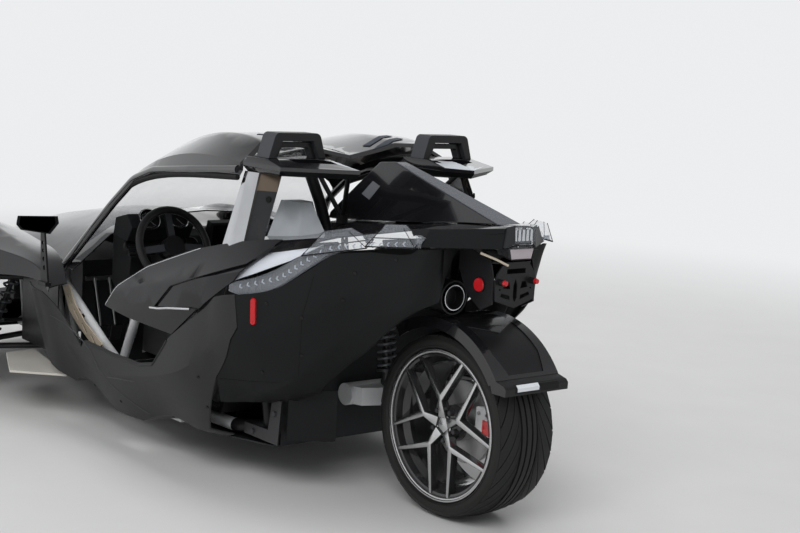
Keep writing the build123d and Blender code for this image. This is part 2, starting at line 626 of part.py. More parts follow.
# Roof: two arched halves that meet in a low valley, with rails down to the cowl
roof_sections = [
    (1540, [(548, 1012), (520, 1048), (400, 1126), (200, 1158), (0, 1156)]),
    (1300, [(556, 1106), (530, 1154), (400, 1226), (250, 1242), (0, 1210)]),
    (1027, [(556, 1142), (530, 1206), (400, 1288), (250, 1292), (0, 1240)]),
    (850, [(552, 1152), (526, 1208), (400, 1284), (250, 1286), (0, 1236)]),
    (700, [(542, 1158), (518, 1196), (400, 1250), (250, 1252), (0, 1220)]),
]
roof_rear = [(1560, 1000), (708, 1100), (708, 1172), (775, 1268), (790, 1330), (1560, 1330)]
canopy = shell(roof_sections, 14) & side_plate(roof_rear, -10, 700)
canopy_right = mirrored(canopy)
pillar = tube([(1850, 655, 640), (1600, 556, 950), (1440, 549, 1068), (1290, 548, 1116), (1027, 548, 1144),
               (722, 530, 1172)], 17, 200)

# Hood: centre panel from the cowl to the nose, and the nose with its grille opening
hood_sections = [
    (1750, [(655, 655), (480, 800), (260, 880), (0, 895)]),
    (2100, [(590, 690), (440, 790), (250, 850), (0, 870)]),
    (wheel_base, [(540, 700), (400, 730), (220, 780), (0, 800)]),
    (3080, [(500, 610), (380, 630), (200, 670), (0, 690)]),
    (3300, [(330, 520), (260, 540), (140, 570), (0, 585)]),
]
hood = shell(hood_sections, wall)
hood = hood + mirrored(hood)
write("hood", hood)

nose_plan = [(3000, 560), (3180, 470), (3330, 300), (nose_x - 20, 60), (nose_x - 20, -60), (3330, -300),
             (3180, -470), (3000, -560)]
nose_inner = [(2990, 520), (3160, 440), (3300, 280), (nose_x - 70, 40), (nose_x - 70, -40), (3300, -280),
              (3160, -440), (2990, -520)]
bumper = plan_plate(nose_plan, 190, 300) - plan_plate(nose_inner, 180, 290)
splitter_plan = [(2990, 700), (3190, 660), (3360, 320), (nose_x, 70), (nose_x, -70), (3360, -320), (3190, -660),
                 (2990, -700), (2990, -520), (2990, 520)]
splitter = plan_plate(splitter_plan, 176, 190)
bonnet_lip = plan_plate([(3060, 490), (3200, 440), (3340, 250), (nose_x - 40, 40), (nose_x - 40, -40),
                         (3340, -250), (3200, -440), (3060, -490)], 470, 500)
ribs = [side_plate([(3080, 295), (3200, 295), (3260, 475), (3090, 475)], y - 8, y + 8) for y in (-250, -125, 0, 125, 250)]
nose = bumper + splitter + bonnet_lip + ribs - pair(side_frame)
write("nose", nose)

# Headlamps: stacked lenses in the corners of the nose
lens = loft([flat([(3085, y, z) for y, z in ((290, 400), (480, 420), (500, 520), (310, 510))]),
             flat([(3170, y, z) for y, z in ((300, 410), (420, 430), (430, 490), (310, 490))])], ruled=True)
write("headlamps", pair(lens - bonnet_lip - hood))

# Front fenders: arched panels over the front wheels that sweep back to the cowl's corners
fender_sections = [
    (1722, [(776, 572), (772, 590), (745, 598), (690, 606)]),
    (2030, [(856, 606), (820, 700), (720, 712), (604, 708)]),
    (2350, [(955, 640), (900, 745), (720, 768), (556, 722)]),
    (wheel_base, [(985, 706), (915, 782), (720, 802), (545, 736)]),
    (2950, [(970, 640), (900, 715), (720, 752), (525, 680)]),
    (3170, [(880, 500), (830, 590), (700, 620), (470, 600)]),
]
fender = shell(fender_sections, wall)
write("front_fenders", pair(fender))
pillar = (pillar - fender - hood).solids().sort_by(SortBy.VOLUME)[-1]
write("roof", canopy + canopy_right + pillar + mirrored(pillar))

# Inner side panels between the cowl and the nose, beside the engine bay
side_panel = plan_plate([(1900, 640), (2100, 545), (2960, 500), (2960, 494), (2100, 539), (1900, 634)], 215, 560)
opening = side_plate([(wheel_base - 185, 190), (wheel_base + 185, 190), (wheel_base + 180, 530),
                      (wheel_base - 180, 530)], 450, 600)
deflector = plan_plate([(2290, 552), (2270, 700), (1930, 840), (1760, 660), (1900, 630)], 196, 206)
write("inner_side_panels", pair(side_panel - opening) + pair(deflector - shell(side_sections[:4], 60)))

# Windscreen: thin curved glass between the cowl and the front of the roof
glass_lines = [(0, 1800, 905, 1548, 1144), (300, 1800, 880, 1540, 1136), (450, 1808, 826, 1545, 1078),
               (540, 1820, 764, 1590, 962), (612, 1838, 700, 1735, 790)]
glass_faces = [flat([(low_x, y, low_z), (high_x, y, high_z), (high_x - 5, y, high_z), (low_x - 5, y, low_z)])
               for y, low_x, low_z, high_x, high_z in glass_lines]
glass = loft(glass_faces, ruled=True)
glass = glass + mirrored(glass)
glass = glass - pair(pillar) - (canopy + canopy_right) - hood
write("windscreen", glass.solids().sort_by(SortBy.VOLUME)[-1])

# Dashboard: closed moulding across the cockpit with a hood over the gauges and a screen housing
dash_profile = [(1745, 600), (1690, 560), (1600, 640), (1590, 720), (1640, 800), (1700, 820), (1745, 800)]
dash = side_plate(dash_profile, -470, 470)
gauge_hood = side_plate([(1600, 790), (1560, 850), (1600, 905), (1700, 880), (1720, 800)], seat_y - 150, seat_y + 150)
screen = side_plate([(1580, 730), (1560, 860), (1600, 870), (1640, 730)], -95, 95)
dash = (dash + gauge_hood + screen) - hood
write("dashboard", dash)

# Steering wheel and column about one tilted axis
column = Plane(origin=(column_x, seat_y, column_z), x_dir=(0, 1, 0),
               z_dir=(-cos(radians(column_tilt)), 0, sin(radians(column_tilt)))).location
grip = Torus(wheel_grip_radius, wheel_grip_tube)
boss = Pos(0, 0, -12) * Cylinder(46, 44)
steer_spokes = [Rot(0, 0, a) * (Pos(wheel_grip_radius / 2, 0, -6) * Box(wheel_grip_radius, 30, 14)) for a in (5, 175, 270)]
wheel_shaft = Pos(0, 0, -60) * Cylinder(14, 80)
write("steering_wheel", column * (grip + boss + steer_spokes + wheel_shaft))
shroud = Pos(0, 0, -142) * Cylinder(40, 150) - Pos(0, 0, -80) * Cylinder(14.5, 60)
stalk = column * (Pos(98, 0, -95) * (Rot(0, 90, 0) * Cylinder(8, 130)))
write("steering_column", column * shroud + stalk - dash - hood)

# Centre console between the seats
console = side_plate([(620, floor_z), (620, 420), (1150, 400), (1500, 440), (1580, 640), (1640, 640), (1640, 470),
                      (1640, floor_z)], -85, 85)
console = fillet(console.edges().filter_by(Axis.Y).group_by(Axis.Z)[-2], 10)
lever = Pos(1330, 0, 470) * Cylinder(9, 130) + Pos(1330, 0, 545) * Sphere(24)
console = console + lever - Pos(1870, 0, 330) * Box(520, 250, 270)
write("centre_console", console - dash)

# Seats: bucket with side bolsters, one solid each
seat_base = 240
seat_profile = [(790, seat_base), (1230, seat_base), (1305, 330), (1285, 372), (910, 290), (850, 330),
                (710, 870), (650, 905), (615, 880), (690, 420)]
bolster_profile = [(790, seat_base), (1230, seat_base), (1312, 340), (1280, 410), (980, 400), (900, 470),
                   (785, 800), (710, 880), (650, 905), (615, 880), (690, 420)]
cushion = side_plate(seat_profile, seat_y - 150, seat_y + 150)
bolsters = side_plate(bolster_profile, seat_y - 225, seat_y - 149)
bolsters += side_plate(bolster_profile, seat_y + 149, seat_y + 184)
runner = side_plate([(820, floor_z), (1200, floor_z), (1200, seat_base), (820, seat_base)], seat_y - 90, seat_y + 90)
seat = (cushion + bolsters + runner) - console
write("seats", pair(seat))

# Bulkhead behind the seats and firewall ahead of the footwells
bulkhead = side_plate([(bulkhead_x - 4, 161), (bulkhead_x, 161), (bulkhead_x, 880), (bulkhead_x - 4, 880)], -400, 400)
bulkhead -= Pos(bulkhead_x, -170, drive_z) * Box(40, 160, 2 * drive_pulley_radius + 60)
firewall = side_plate([(firewall_x + 1, 162), (firewall_x + 5, 162), (firewall_x + 5, 640), (firewall_x + 1, 640)],
                      -440, 440)
firewall -= Pos(1870, 0, 330) * Box(510, 250, 270)
bulkhead = bulkhead - pair(side_frame) - pair(quarter) - cross
firewall = firewall - hood - pair(side_frame)
pan = pan - pair(pod)
write("tub_plates", [pan, bulkhead, firewall])

# Pedals: three arms hung from a bracket on the driver's side of the firewall
hanger = Pos(firewall_x - 6, 312, 560) * Box(14, 240, 20)
for y in (235, 315, 388):
    hanger += rod((firewall_x - 8, y, 560), (firewall_x - 84, y, 330), 8)
    hanger += Pos(firewall_x - 86, y, 322) * (Rot(0, -18, 0) * Box(10, 54, 76))
write("pedals", hanger - hood)

# Tail lamp: faceted lens that closes the deck's end, and a second lens stepped in below it
lens_rings = [
    (-204, [(-78, 994), (78, 994), (66, 1058), (-66, 1058)]),
    (-220, [(-70, 994), (70, 994), (64, 1066), (-64, 1066)]),
    (-243, [(-46, 1012), (46, 1012), (52, 1074), (-52, 1074)]),
]
low_rings = [
    (-190, [(-74, 970), (74, 970), (80, 990), (-80, 990)]),
    (-230, [(-46, 954), (46, 954), (56, 990), (-56, 990)]),
]
tail = loft([flat([(x, y, z) for y, z in ring]) for x, ring in lens_rings], ruled=True)
low_lens = loft([flat([(x, y, z) for y, z in ring]) for x, ring in low_rings], ruled=True)
lens_bridge = Pos(-212, 0, 992) * Box(16, 110, 8)
tail_lamp = (tail + low_lens + lens_bridge - deck - pair(quarter)).solids().sort_by(SortBy.VOLUME)[-1]
write("tail_lamp", tail_lamp)

# Plate bracket under the tail: cheeks with round reflectors, and a slotted V-shaped holder with two lamps
holder_face = -208.0
holder_outline = [(0, 783), (94, 812), (98, 880), (88, 905), (60, 940), (-60, 940), (-88, 905), (-98, 880), (-94, 812)]
holder_slots = [
    [(0, 803), (9, 818), (9, 862), (0, 885), (-9, 862), (-9, 818)],
    [(24, 850), (58, 854), (50, 874), (30, 874)],
    [(24, 812), (70, 826), (64, 837), (26, 827)],
    [(-44, 903), (44, 903), (44, 920), (-44, 920)],
]


def upright_plate(outline, back_x, thick):
    """Plate across the car, its outline given as (y, z)."""
    return extrude(flat([(back_x, y, z) for y, z in outline]), amount=thick, dir=(1, 0, 0))


holder = upright_plate(holder_outline, holder_face - 3, 6)
for slot in holder_slots:
    holder -= upright_plate(slot, holder_face - 5, 10)
    if slot[0][0] > 0:
        holder -= upright_plate([(-y, z) for y, z in slot], holder_face - 5, 10)
holder -= [Pos(holder_face, y, 850) * (Rot(0, 90, 0) * Cylinder(3.5, 20)) for y in (73, -73)]
cheek_outline = [(-205, 890), (-186, 950), (-60, 985), (-30, 985), (-30, 905), (-72, 822), (-150, 772), (-205, 800)]
cheeks = [side_plate(cheek_outline, y - 2.5, y + 2.5) for y in (99, -99)]
shelf = plan_plate([(-212, -64), (-176, -101), (-40, -101), (-40, 101), (-176, 101), (-212, 64)], 938, 943)
lamps = [Pos(holder_face - 12, y, 876) * (Rot(0, 90, 0) * Cylinder(11, 24)) for y in (74, -74)]
reflectors = [cross_disc(-142, y, 859, 25, 6) for y in (101, -107)]
write("plate_bracket", holder + cheeks + shelf + lamps + reflectors)

# Rear fender: hoop over the tyre with turned-down edges, ended by a bar with a reflector
fender_radius = 382.0
fender_x, fender_z = 12.0, 340.0
fender_half = 150.0


def fender_drum(radius, low_y, width):
    return cross_disc(fender_x, low_y, fender_z, radius, width)


ring = fender_drum(fender_radius, -fender_half, 2 * fender_half) - fender_drum(
    fender_radius - 6, -fender_half, 2 * fender_half)
for y in (-fender_half, fender_half - 6):
    ring += fender_drum(fender_radius, y, 6) - fender_drum(fender_radius - 42, y, 6)
keep = side_plate([(fender_x, fender_z), (-500, 698), (-500, 900), (404, 900)], -200, 200)
ring = ring & keep
sink = plan_plate([(-95, 108), (-235, 108), (-292, 84), (-292, -84), (-235, -108), (-95, -108), (-150, 0)], 400, 760)
ring -= (fender_drum(fender_radius, -120, 240) - fender_drum(fender_radius - 3, -120, 240)) & sink
bar = side_plate([(-350, 514), (-350, 538), (-340, 548), (-285, 562), (-268, 556), (-285, 514)], -150, 150)
stay = side_plate([(60, axle_rear_z + 60), (90, axle_rear_z + 60), (60, 715), (20, 715)], -172, -150)
write("rear_fender", (ring + bar + stay) - swingarm)

# Mirrors on slim pierced stems above the cowl's corners
mirror_y, mirror_z = 828.0, 856.0
head_rear = [(mirror_y - 92, mirror_z + 30), (mirror_y - 98, mirror_z), (mirror_y - 60, mirror_z - 44),
             (mirror_y + 70, mirror_z - 22), (mirror_y + 90, mirror_z), (mirror_y + 84, mirror_z + 36)]
head_front = [(mirror_y + 0.62 * (y - mirror_y), mirror_z + 0.62 * (z - mirror_z)) for y, z in head_rear]
head = loft([flat([(1728, y, z) for y, z in head_rear]), flat([(1800, y, z) for y, z in head_front])], ruled=True)
head -= upright_plate([(mirror_y + 0.86 * (y - mirror_y), mirror_z + 0.86 * (z - mirror_z)) for y, z in head_rear],
                      1727, 6)
stem_y = 784.0
stem = side_plate([(1700, 600), (1764, 600), (1776, 828), (1744, 828)], stem_y - 4, stem_y + 4)
for x, z, radius in ((1735, 672, 11), (1743, 708, 10), (1750, 742, 9), (1756, 774, 9)):
    stem -= cross_disc(x, stem_y - 10, z, radius, 20)
foot_pad = Pos(1738, stem_y, 606) * Box(70, 26, 16)
stem += foot_pad
write("mirrors", pair(((head + stem) - fender).solids().sort_by(Axis.Z)[-1]))
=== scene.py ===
from math import cos, pi, radians, sin, sqrt

import bmesh
import bpy
from mathutils import Matrix, Vector
from mathutils.bvhtree import BVHTree


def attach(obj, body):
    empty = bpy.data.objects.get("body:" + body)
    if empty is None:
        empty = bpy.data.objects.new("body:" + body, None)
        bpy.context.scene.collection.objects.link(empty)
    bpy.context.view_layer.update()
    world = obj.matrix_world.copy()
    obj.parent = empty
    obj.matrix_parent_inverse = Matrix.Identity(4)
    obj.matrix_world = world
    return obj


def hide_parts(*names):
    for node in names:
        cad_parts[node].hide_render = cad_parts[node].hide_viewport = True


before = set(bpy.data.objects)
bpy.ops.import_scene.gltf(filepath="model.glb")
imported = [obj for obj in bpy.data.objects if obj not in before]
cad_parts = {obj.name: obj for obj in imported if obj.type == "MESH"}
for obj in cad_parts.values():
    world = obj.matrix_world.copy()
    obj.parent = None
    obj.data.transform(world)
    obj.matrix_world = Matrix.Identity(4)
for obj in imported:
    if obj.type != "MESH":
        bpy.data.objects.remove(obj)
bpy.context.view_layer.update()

scene = bpy.context.scene
scene.view_settings.view_transform = "Standard"


# Camera: it stands at eye height behind the car's left rear corner, with the short telephoto view of the
# photograph. Its place and turn were fitted to the rear wheel and to features mirrored across the car.
def linked(name, data):
    """New object in the scene."""
    made = bpy.data.objects.new(name, data)
    scene.collection.objects.link(made)
    return made


camera = linked("camera", bpy.data.cameras.new("camera"))
scene.camera = camera
camera.data.lens = 64.0
camera.data.sensor_width = 36.0
yaw, pitch, roll = radians(40.4), radians(8.1), radians(3.4)
ahead = Vector((cos(yaw) * cos(pitch), -sin(yaw) * cos(pitch), -sin(pitch)))
level = Vector((-sin(yaw), -cos(yaw), 0))
above = level.cross(ahead)
side = level * cos(roll) + above * sin(roll)
above = above * cos(roll) - level * sin(roll)
camera_place = Matrix.Translation((-5.1702, 3.4248, 1.5889))
camera.matrix_world = camera_place @ Matrix((side, above, -ahead)).transposed().to_4x4()


# Stage: a plain pale floor that fades into the background, and a pale sky, dimmer overhead, that gloss and
# glass reflect. Large soft lamps over the camera's shoulder, across the car, behind it and above give plain
# daylight and leave no mirror images of themselves in the gloss.
class Wire:
    """A socket in a material's node tree. Sums on it add Math nodes, and make() adds any other node."""

    def __init__(self, tree, socket=None):
        self.tree, self.socket = tree, socket

    def make(self, kind, settings=None, sockets=None, output=0):
        node = self.tree.nodes.new("ShaderNode" + kind)
        for name, value in (settings or {}).items():
            setattr(node, name, value)
        for name, value in (sockets or {}).items():
            if isinstance(value, Wire):
                self.tree.links.new(value.socket, node.inputs[name])
            else:
                node.inputs[name].default_value = value
        return Wire(self.tree, node.outputs[output])

    def sum(self, operation, first, second):
        return self.make("Math", {"operation": operation}, {0: first, 1: second})

    def __add__(self, other):
        return self.sum("ADD", self, other)

    def __radd__(self, other):
        return self.sum("ADD", other, self)

    def __sub__(self, other):
        return self.sum("SUBTRACT", self, other)

    def __rsub__(self, other):
        return self.sum("SUBTRACT", other, self)

    def __mul__(self, other):
        return self.sum("MULTIPLY", self, other)

    def __rmul__(self, other):
        return self.sum("MULTIPLY", other, self)


def new_finish(name, **constants):
    """A material with its shader's fixed values set, the wire of its object coordinates and its feed."""
    material = bpy.data.materials.new(name)
    material.use_nodes = True
    tree = material.node_tree
    shader = tree.nodes["Principled BSDF"]
    for key, value in constants.items():
        shader.inputs[key.replace("_", " ")].default_value = value
    place = Wire(tree).make("TexCoord", output=3)

    def feed(socket, wire):
        tree.links.new(wire.socket, shader.inputs[socket])

    return material, place, feed


def mixed(low, high, share):
    """Colour between two colours, each of them three numbers or a wire."""
    ends = {i: colour if isinstance(colour, Wire) else (*colour, 1) for i, colour in ((6, low), (7, high))}
    return share.make("Mix", {"data_type": "RGBA"}, {0: share, **ends}, 2)


def cloud(place, scale, detail=3.0, rough=0.55):
    """Soft noise from 0 to 1."""
    return place.make("TexNoise", {}, {"Vector": place, "Scale": scale, "Detail": detail, "Roughness": rough})


def eased(wire, low, high, start, end):
    """Goes smoothly from start to end while the wire goes from low to high."""
    return wire.make("MapRange", {"interpolation_type": "SMOOTHSTEP"},
                     {0: wire, 1: low, 2: high, 3: start, 4: end})


floor_form = bmesh.new()
bmesh.ops.create_circle(floor_form, cap_ends=True, radius=40.0, segments=96)
floor_mesh = bpy.data.meshes.new("floor")
floor_form.to_mesh(floor_mesh)
floor = linked("floor", floor_mesh)
floor_paint, place, feed = new_finish("floor_paint", Roughness=0.8)
speckle = cloud(place, 3.0, 5.0)
feed("Base Color", mixed((0.62, 0.62, 0.615), (0.67, 0.67, 0.665), speckle))
floor_tree = floor_paint.node_tree
away = place.make("VectorMath", {"operation": "LENGTH"}, {0: place}, 1)
fade = eased(away, 3.6, 8.5, 0.0, 1.0)
haze = fade.make("Emission", {}, {"Color": (0.84, 0.85, 0.86, 1), "Strength": 1.0})
paint_out = Wire(floor_tree, floor_tree.nodes["Principled BSDF"].outputs[0])
shade = fade.make("MixShader", {}, {0: fade, 1: paint_out, 2: haze})
floor_tree.links.new(shade.socket, floor_tree.nodes["Material Output"].inputs["Surface"])
floor_mesh.materials.append(floor_paint)

world = bpy.data.worlds.new("sky")
scene.world = world
world.use_nodes = True
sky = Wire(world.node_tree)
seen, mirrored, through = (sky.make("LightPath", output=i) for i in (0, 3, 6))
height = sky.make("SeparateXYZ", {}, {0: sky.make("TexCoord", output=0)}, 2)
walls = eased(height, 0.20, 0.80, 1.0, 0.25)
shown = sky.sum("MAXIMUM", sky.sum("MAXIMUM", seen, through), mirrored * walls)
strength = 0.42 + 0.58 * shown - 0.34 * mirrored * (1.0 - walls)
backing = world.node_tree.nodes["Background"]
backing.inputs["Color"].default_value = (0.84, 0.85, 0.86, 1)
world.node_tree.links.new(strength.socket, backing.inputs["Strength"])


def soft_lamp(name, place, aim, size, power):
    """Large area lamp in watts that gloss and glass don't mirror."""
    lamp = linked(name, bpy.data.lights.new(name, "AREA"))
    lamp.visible_glossy = False
    lamp.data.shape = "RECTANGLE"
    lamp.data.size, lamp.data.size_y = size
    lamp.data.energy = power
    lamp.location = place
    lamp.rotation_euler = (Vector(aim) - Vector(place)).to_track_quat("-Z", "Y").to_euler()


soft_lamp("key_lamp", (-5.0, 6.0, 6.5), (0, 0, 0.5), (7.0, 4.0), 430)
soft_lamp("fill_lamp", (4.5, 7.5, 4.5), (0, 0, 0.5), (6.0, 4.0), 150)
soft_lamp("back_lamp", (3.0, -7.0, 6.5), (0, 0, 0.7), (7.0, 3.0), 270)
soft_lamp("top_lamp", (0.0, 0.0, 8.0), (0, 0, 0), (7.0, 3.5), 200)

# Tyres: moulded rubber with a rim guard and rounded shoulders. The tread is directional: a middle rib
# with a narrower rib each side, and long curved blocks that sweep out to the shoulders.
both_sides = (("left", 1), ("right", -1))
rear_axle = 1550.0


def spot(x, y, z):
    """Point in metres from the drawing's millimetres, whose x is measured forwards from the rear axle."""
    return Vector((x - rear_axle, y, z)) / 1000


def towards(axis):
    """Matrix that turns the upright direction to the axis."""
    return Vector((0, 0, 1)).rotation_difference(Vector(axis)).to_matrix()


def bumped(height, strength, distance=0.001):
    """Normal of a surface with that height."""
    return height.make("Bump", {}, {"Height": height, "Strength": strength, "Distance": distance})


def moulding(name, base, rough, grain=0.28, pebble=900.0, fade=1.35, shine=0.3):
    """Moulded plastic or rubber with a fine pebble grain and slight fading and scuffs."""
    plastic, place, feed = new_finish(name, IOR=1.46, Specular_IOR_Level=shine)
    wear = cloud(place, 4.5, 6.0)
    scuff = cloud(place, 38.0, 8.0, 0.7)
    feed("Base Color", mixed(base, [min(c * fade + 0.004, 1) for c in base], wear * 0.6 + scuff * 0.4))
    feed("Roughness", rough + 0.16 * (scuff - 0.5) + 0.08 * (wear - 0.5))
    cells = place.make("TexVoronoi", {}, {"Vector": place, "Scale": pebble})
    feed("Normal", bumped(cells, grain, 0.0004))
    return plastic


def piece(name, form, *finishes, body="body", crease=32, stands_for=(), outwards=True):
    """The bmesh as an object on its body, smooth except over edges sharper than the crease angle."""
    if outwards:
        bmesh.ops.recalc_face_normals(form, faces=form.faces)
    for face in form.faces:
        face.smooth = True
    for edge in form.edges:
        edge.smooth = edge.calc_face_angle(0.0) < radians(crease)
    mesh = bpy.data.meshes.new(name)
    form.to_mesh(mesh)
    form.free()
    for finish in finishes:
        mesh.materials.append(finish)
    made = linked(name, mesh)
    if stands_for:
        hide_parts(*stands_for)
    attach(made, body)
    return made


def extruded(form, faces):
    """Extrudes faces and gives the vertices of their copies."""
    grown = bmesh.ops.extrude_face_region(form, geom=faces)["geom"]
    return [item for item in grown if isinstance(item, bmesh.types.BMVert)]


def spun(profile, hub, steps=120, form=None, axis=(0, 1, 0)):
    """A closed outline of (radius, distance along the axis) in mm, turned once about the axis at the hub."""
    form = bmesh.new() if form is None else form
    turn = towards(axis)
    ring = [form.verts.new(hub + turn @ Vector((r, 0, reach)) / 1000) for r, reach in profile]
    edges = [form.edges.new((ring[i], ring[(i + 1) % len(ring)])) for i in range(len(ring))]
    bmesh.ops.spin(form, geom=ring + edges, cent=hub, axis=axis, angle=2 * pi, steps=steps, use_merge=True)
    return form


wall_rubber = moulding("wall_rubber", (0.011, 0.0105, 0.010), 0.48, 0.12, 1100.0)
tyre_rubber = moulding("tyre_rubber", (0.011, 0.011, 0.011), 0.62, 0.3, 1500.0)


def tyre(name, body, hub, width, radius, bead, half):
    """Carcass and tread of one tyre on a rim of that bead radius and half width, all in mm."""
    tread_half = 0.45 * width
    groove, shoulder_drop, blocks, gap = 7.0, 11.0, 26, 8.5

    def crown(y):
        return radius - shoulder_drop * (y / tread_half) ** 2

    flank = radius - bead
    wall = [(bead, half), (bead + 18, half), (bead + 21, half + 0.3 * (width / 2 - half)),
            (bead + 25, width / 2 - 3), (bead + 27, width / 2 - 1), (bead + 30, width / 2 - 1),
            (bead + 31, width / 2 - 3), (bead + 0.55 * flank, width / 2 - 0.5),
            (bead + 0.66 * flank, width / 2 - 1.5), (bead + 0.68 * flank, width / 2 - 2.8),
            (radius - 16, tread_half + 5), (radius - 20, tread_half - 2)]
    wall += [(crown(y) - groove, y) for y in (tread_half - 9, tread_half * 0.5, 0)]
    carcass = spun(wall + [(r, -y) for r, y in wall[-2::-1]], hub, 144)
    piece(name + "_carcass", carcass, wall_rubber, body=body, crease=38, stands_for=(name,))

    tread = bmesh.new()
    pitch = 2 * pi * radius / blocks
    inner, outer = 0.15 * width, tread_half + 4
    for hand in (1, -1):
        for i in range(blocks):
            low = bmesh.ops.create_grid(tread, x_segments=11, y_segments=1, size=0.5)["verts"]
            high = extruded(tread, list({face for vert in low for face in vert.link_faces}))
            for verts, depth in ((low, groove), (high, 0.0)):
                for vert in verts:
                    share = (vert.co.x + 0.5) ** 1.5
                    y = inner + share * (outer - inner)
                    sweep = 0.7 * radius * share ** 0.6
                    angle = (sweep + vert.co.y * (pitch - gap) + (i + 0.25 * hand) * pitch) / radius
                    reach = (crown(y) - depth) / 1000
                    vert.co = hub + Vector((-reach * sin(angle), hand * y / 1000, reach * cos(angle)))
    for start, end in ((-0.035, 0.035), (0.065, 0.125), (-0.125, -0.065)):
        low, high = start * width, end * width
        foot_low, foot_high = crown(low) - groove, crown(high) - groove
        spun([(foot_low, low), (crown(low), low), (crown(high), high), (foot_high, high)], hub, 144, tread)
    piece(name + "_tread", tread, tyre_rubber, body=body, crease=28)


# Where each wheel turns: its hub, the side its open face looks to, and its tyre's and rim's sizes.
wheels = [("rear", "rear_wheel", spot(0, 0, 333.5), 1, 265, 333.5, 254, 116)]
wheels += [(f"front_{hand}", f"{hand}_wheel", spot(2667, out * 876.5, 330), out, 225, 330, 228.6, 96)
           for hand, out in both_sides]
for name, body, hub, out, width, radius, bead, half in wheels:
    tyre(f"{name}_tyre", body, hub, width, radius, bead, half)


# Rims: cast alloy, lacquered black and then turned on the lathe, which leaves the faces of the five Y
# spokes, the stepped lip and the middle bright. Five nuts sit between the spokes.
def lacquer(name, base, dust=(0.16, 0.16, 0.16), dusty=0.035, coat=0.6, shine=0.5):
    """Gloss lacquer with orange peel, a little dust on what lies level and faint wiping marks."""
    paint, place, feed = new_finish(name, Coat_Weight=coat, Coat_Roughness=0.02, IOR=1.45,
                                    Specular_IOR_Level=shine)
    up = place.make("SeparateXYZ", {}, {0: place.make("TexCoord", output=1)}, 2)
    settled = cloud(place, 9.0, 6.0) * up.make("MapRange", {}, {0: up, 1: 0.2, 2: 1.0, 3: 0.1, 4: 1.0})
    flake = cloud(place, 1400.0, 1.0)
    shade = mixed(base, [c * 1.7 + 0.004 for c in base], flake)
    feed("Base Color", mixed(shade, dust, settled * dusty))
    feed("Roughness", 0.08 + 0.12 * settled + 0.04 * cloud(place, 60.0))
    feed("Normal", bumped(cloud(place, 320.0, 2.0), 0.035, 0.0005))
    return paint


def metal(name, base, rough, metallic=1.0, skin=0.15, scale=500.0, spread=0.12):
    """Painted, cast or ground metal with fine marks or a sand-cast skin."""
    alloy, place, feed = new_finish(name, Metallic=metallic)
    stain = cloud(place, 14.0, 6.0)
    feed("Base Color", mixed([c * 0.82 for c in base], base, stain))
    feed("Roughness", rough + spread * (cloud(place, 70.0, 5.0) - 0.5))
    feed("Normal", bumped(cloud(place, scale, 3.0), skin, 0.0005))
    return alloy


def turned(name, base, ring_scale):
    """Bright lathe-turned face with fine rings about the axle."""
    alloy, place, feed = new_finish(name, Metallic=1.0)
    stain = cloud(place, 9.0, 5.0)
    feed("Base Color", mixed([c * 0.8 for c in base], base, stain))
    feed("Roughness", 0.24 + 0.14 * (cloud(place, 55.0, 4.0) - 0.5))
    feed("Normal", bumped(cloud(place, ring_scale, 2.0), 0.08, 0.0003))
    return alloy


def stud(form, place, out, radius, depth, sides=12, taper=0.85, proud=0.35):
    """Round or six-sided peg along the direction out, its middle that share of its depth above the place."""
    middle = place + Vector(out).normalized() * depth * proud
    bmesh.ops.create_cone(form, cap_ends=True, segments=sides, radius1=radius, radius2=radius * taper,
                          depth=depth, matrix=Matrix.Translation(middle) @ towards(out).to_4x4())


machined = turned("machined", (0.70, 0.70, 0.71), 900.0)
rim_black = lacquer("rim_black", (0.012, 0.012, 0.013), dusty=0.12)
dark_steel = metal("dark_steel", (0.06, 0.06, 0.065), 0.42, 0.5)


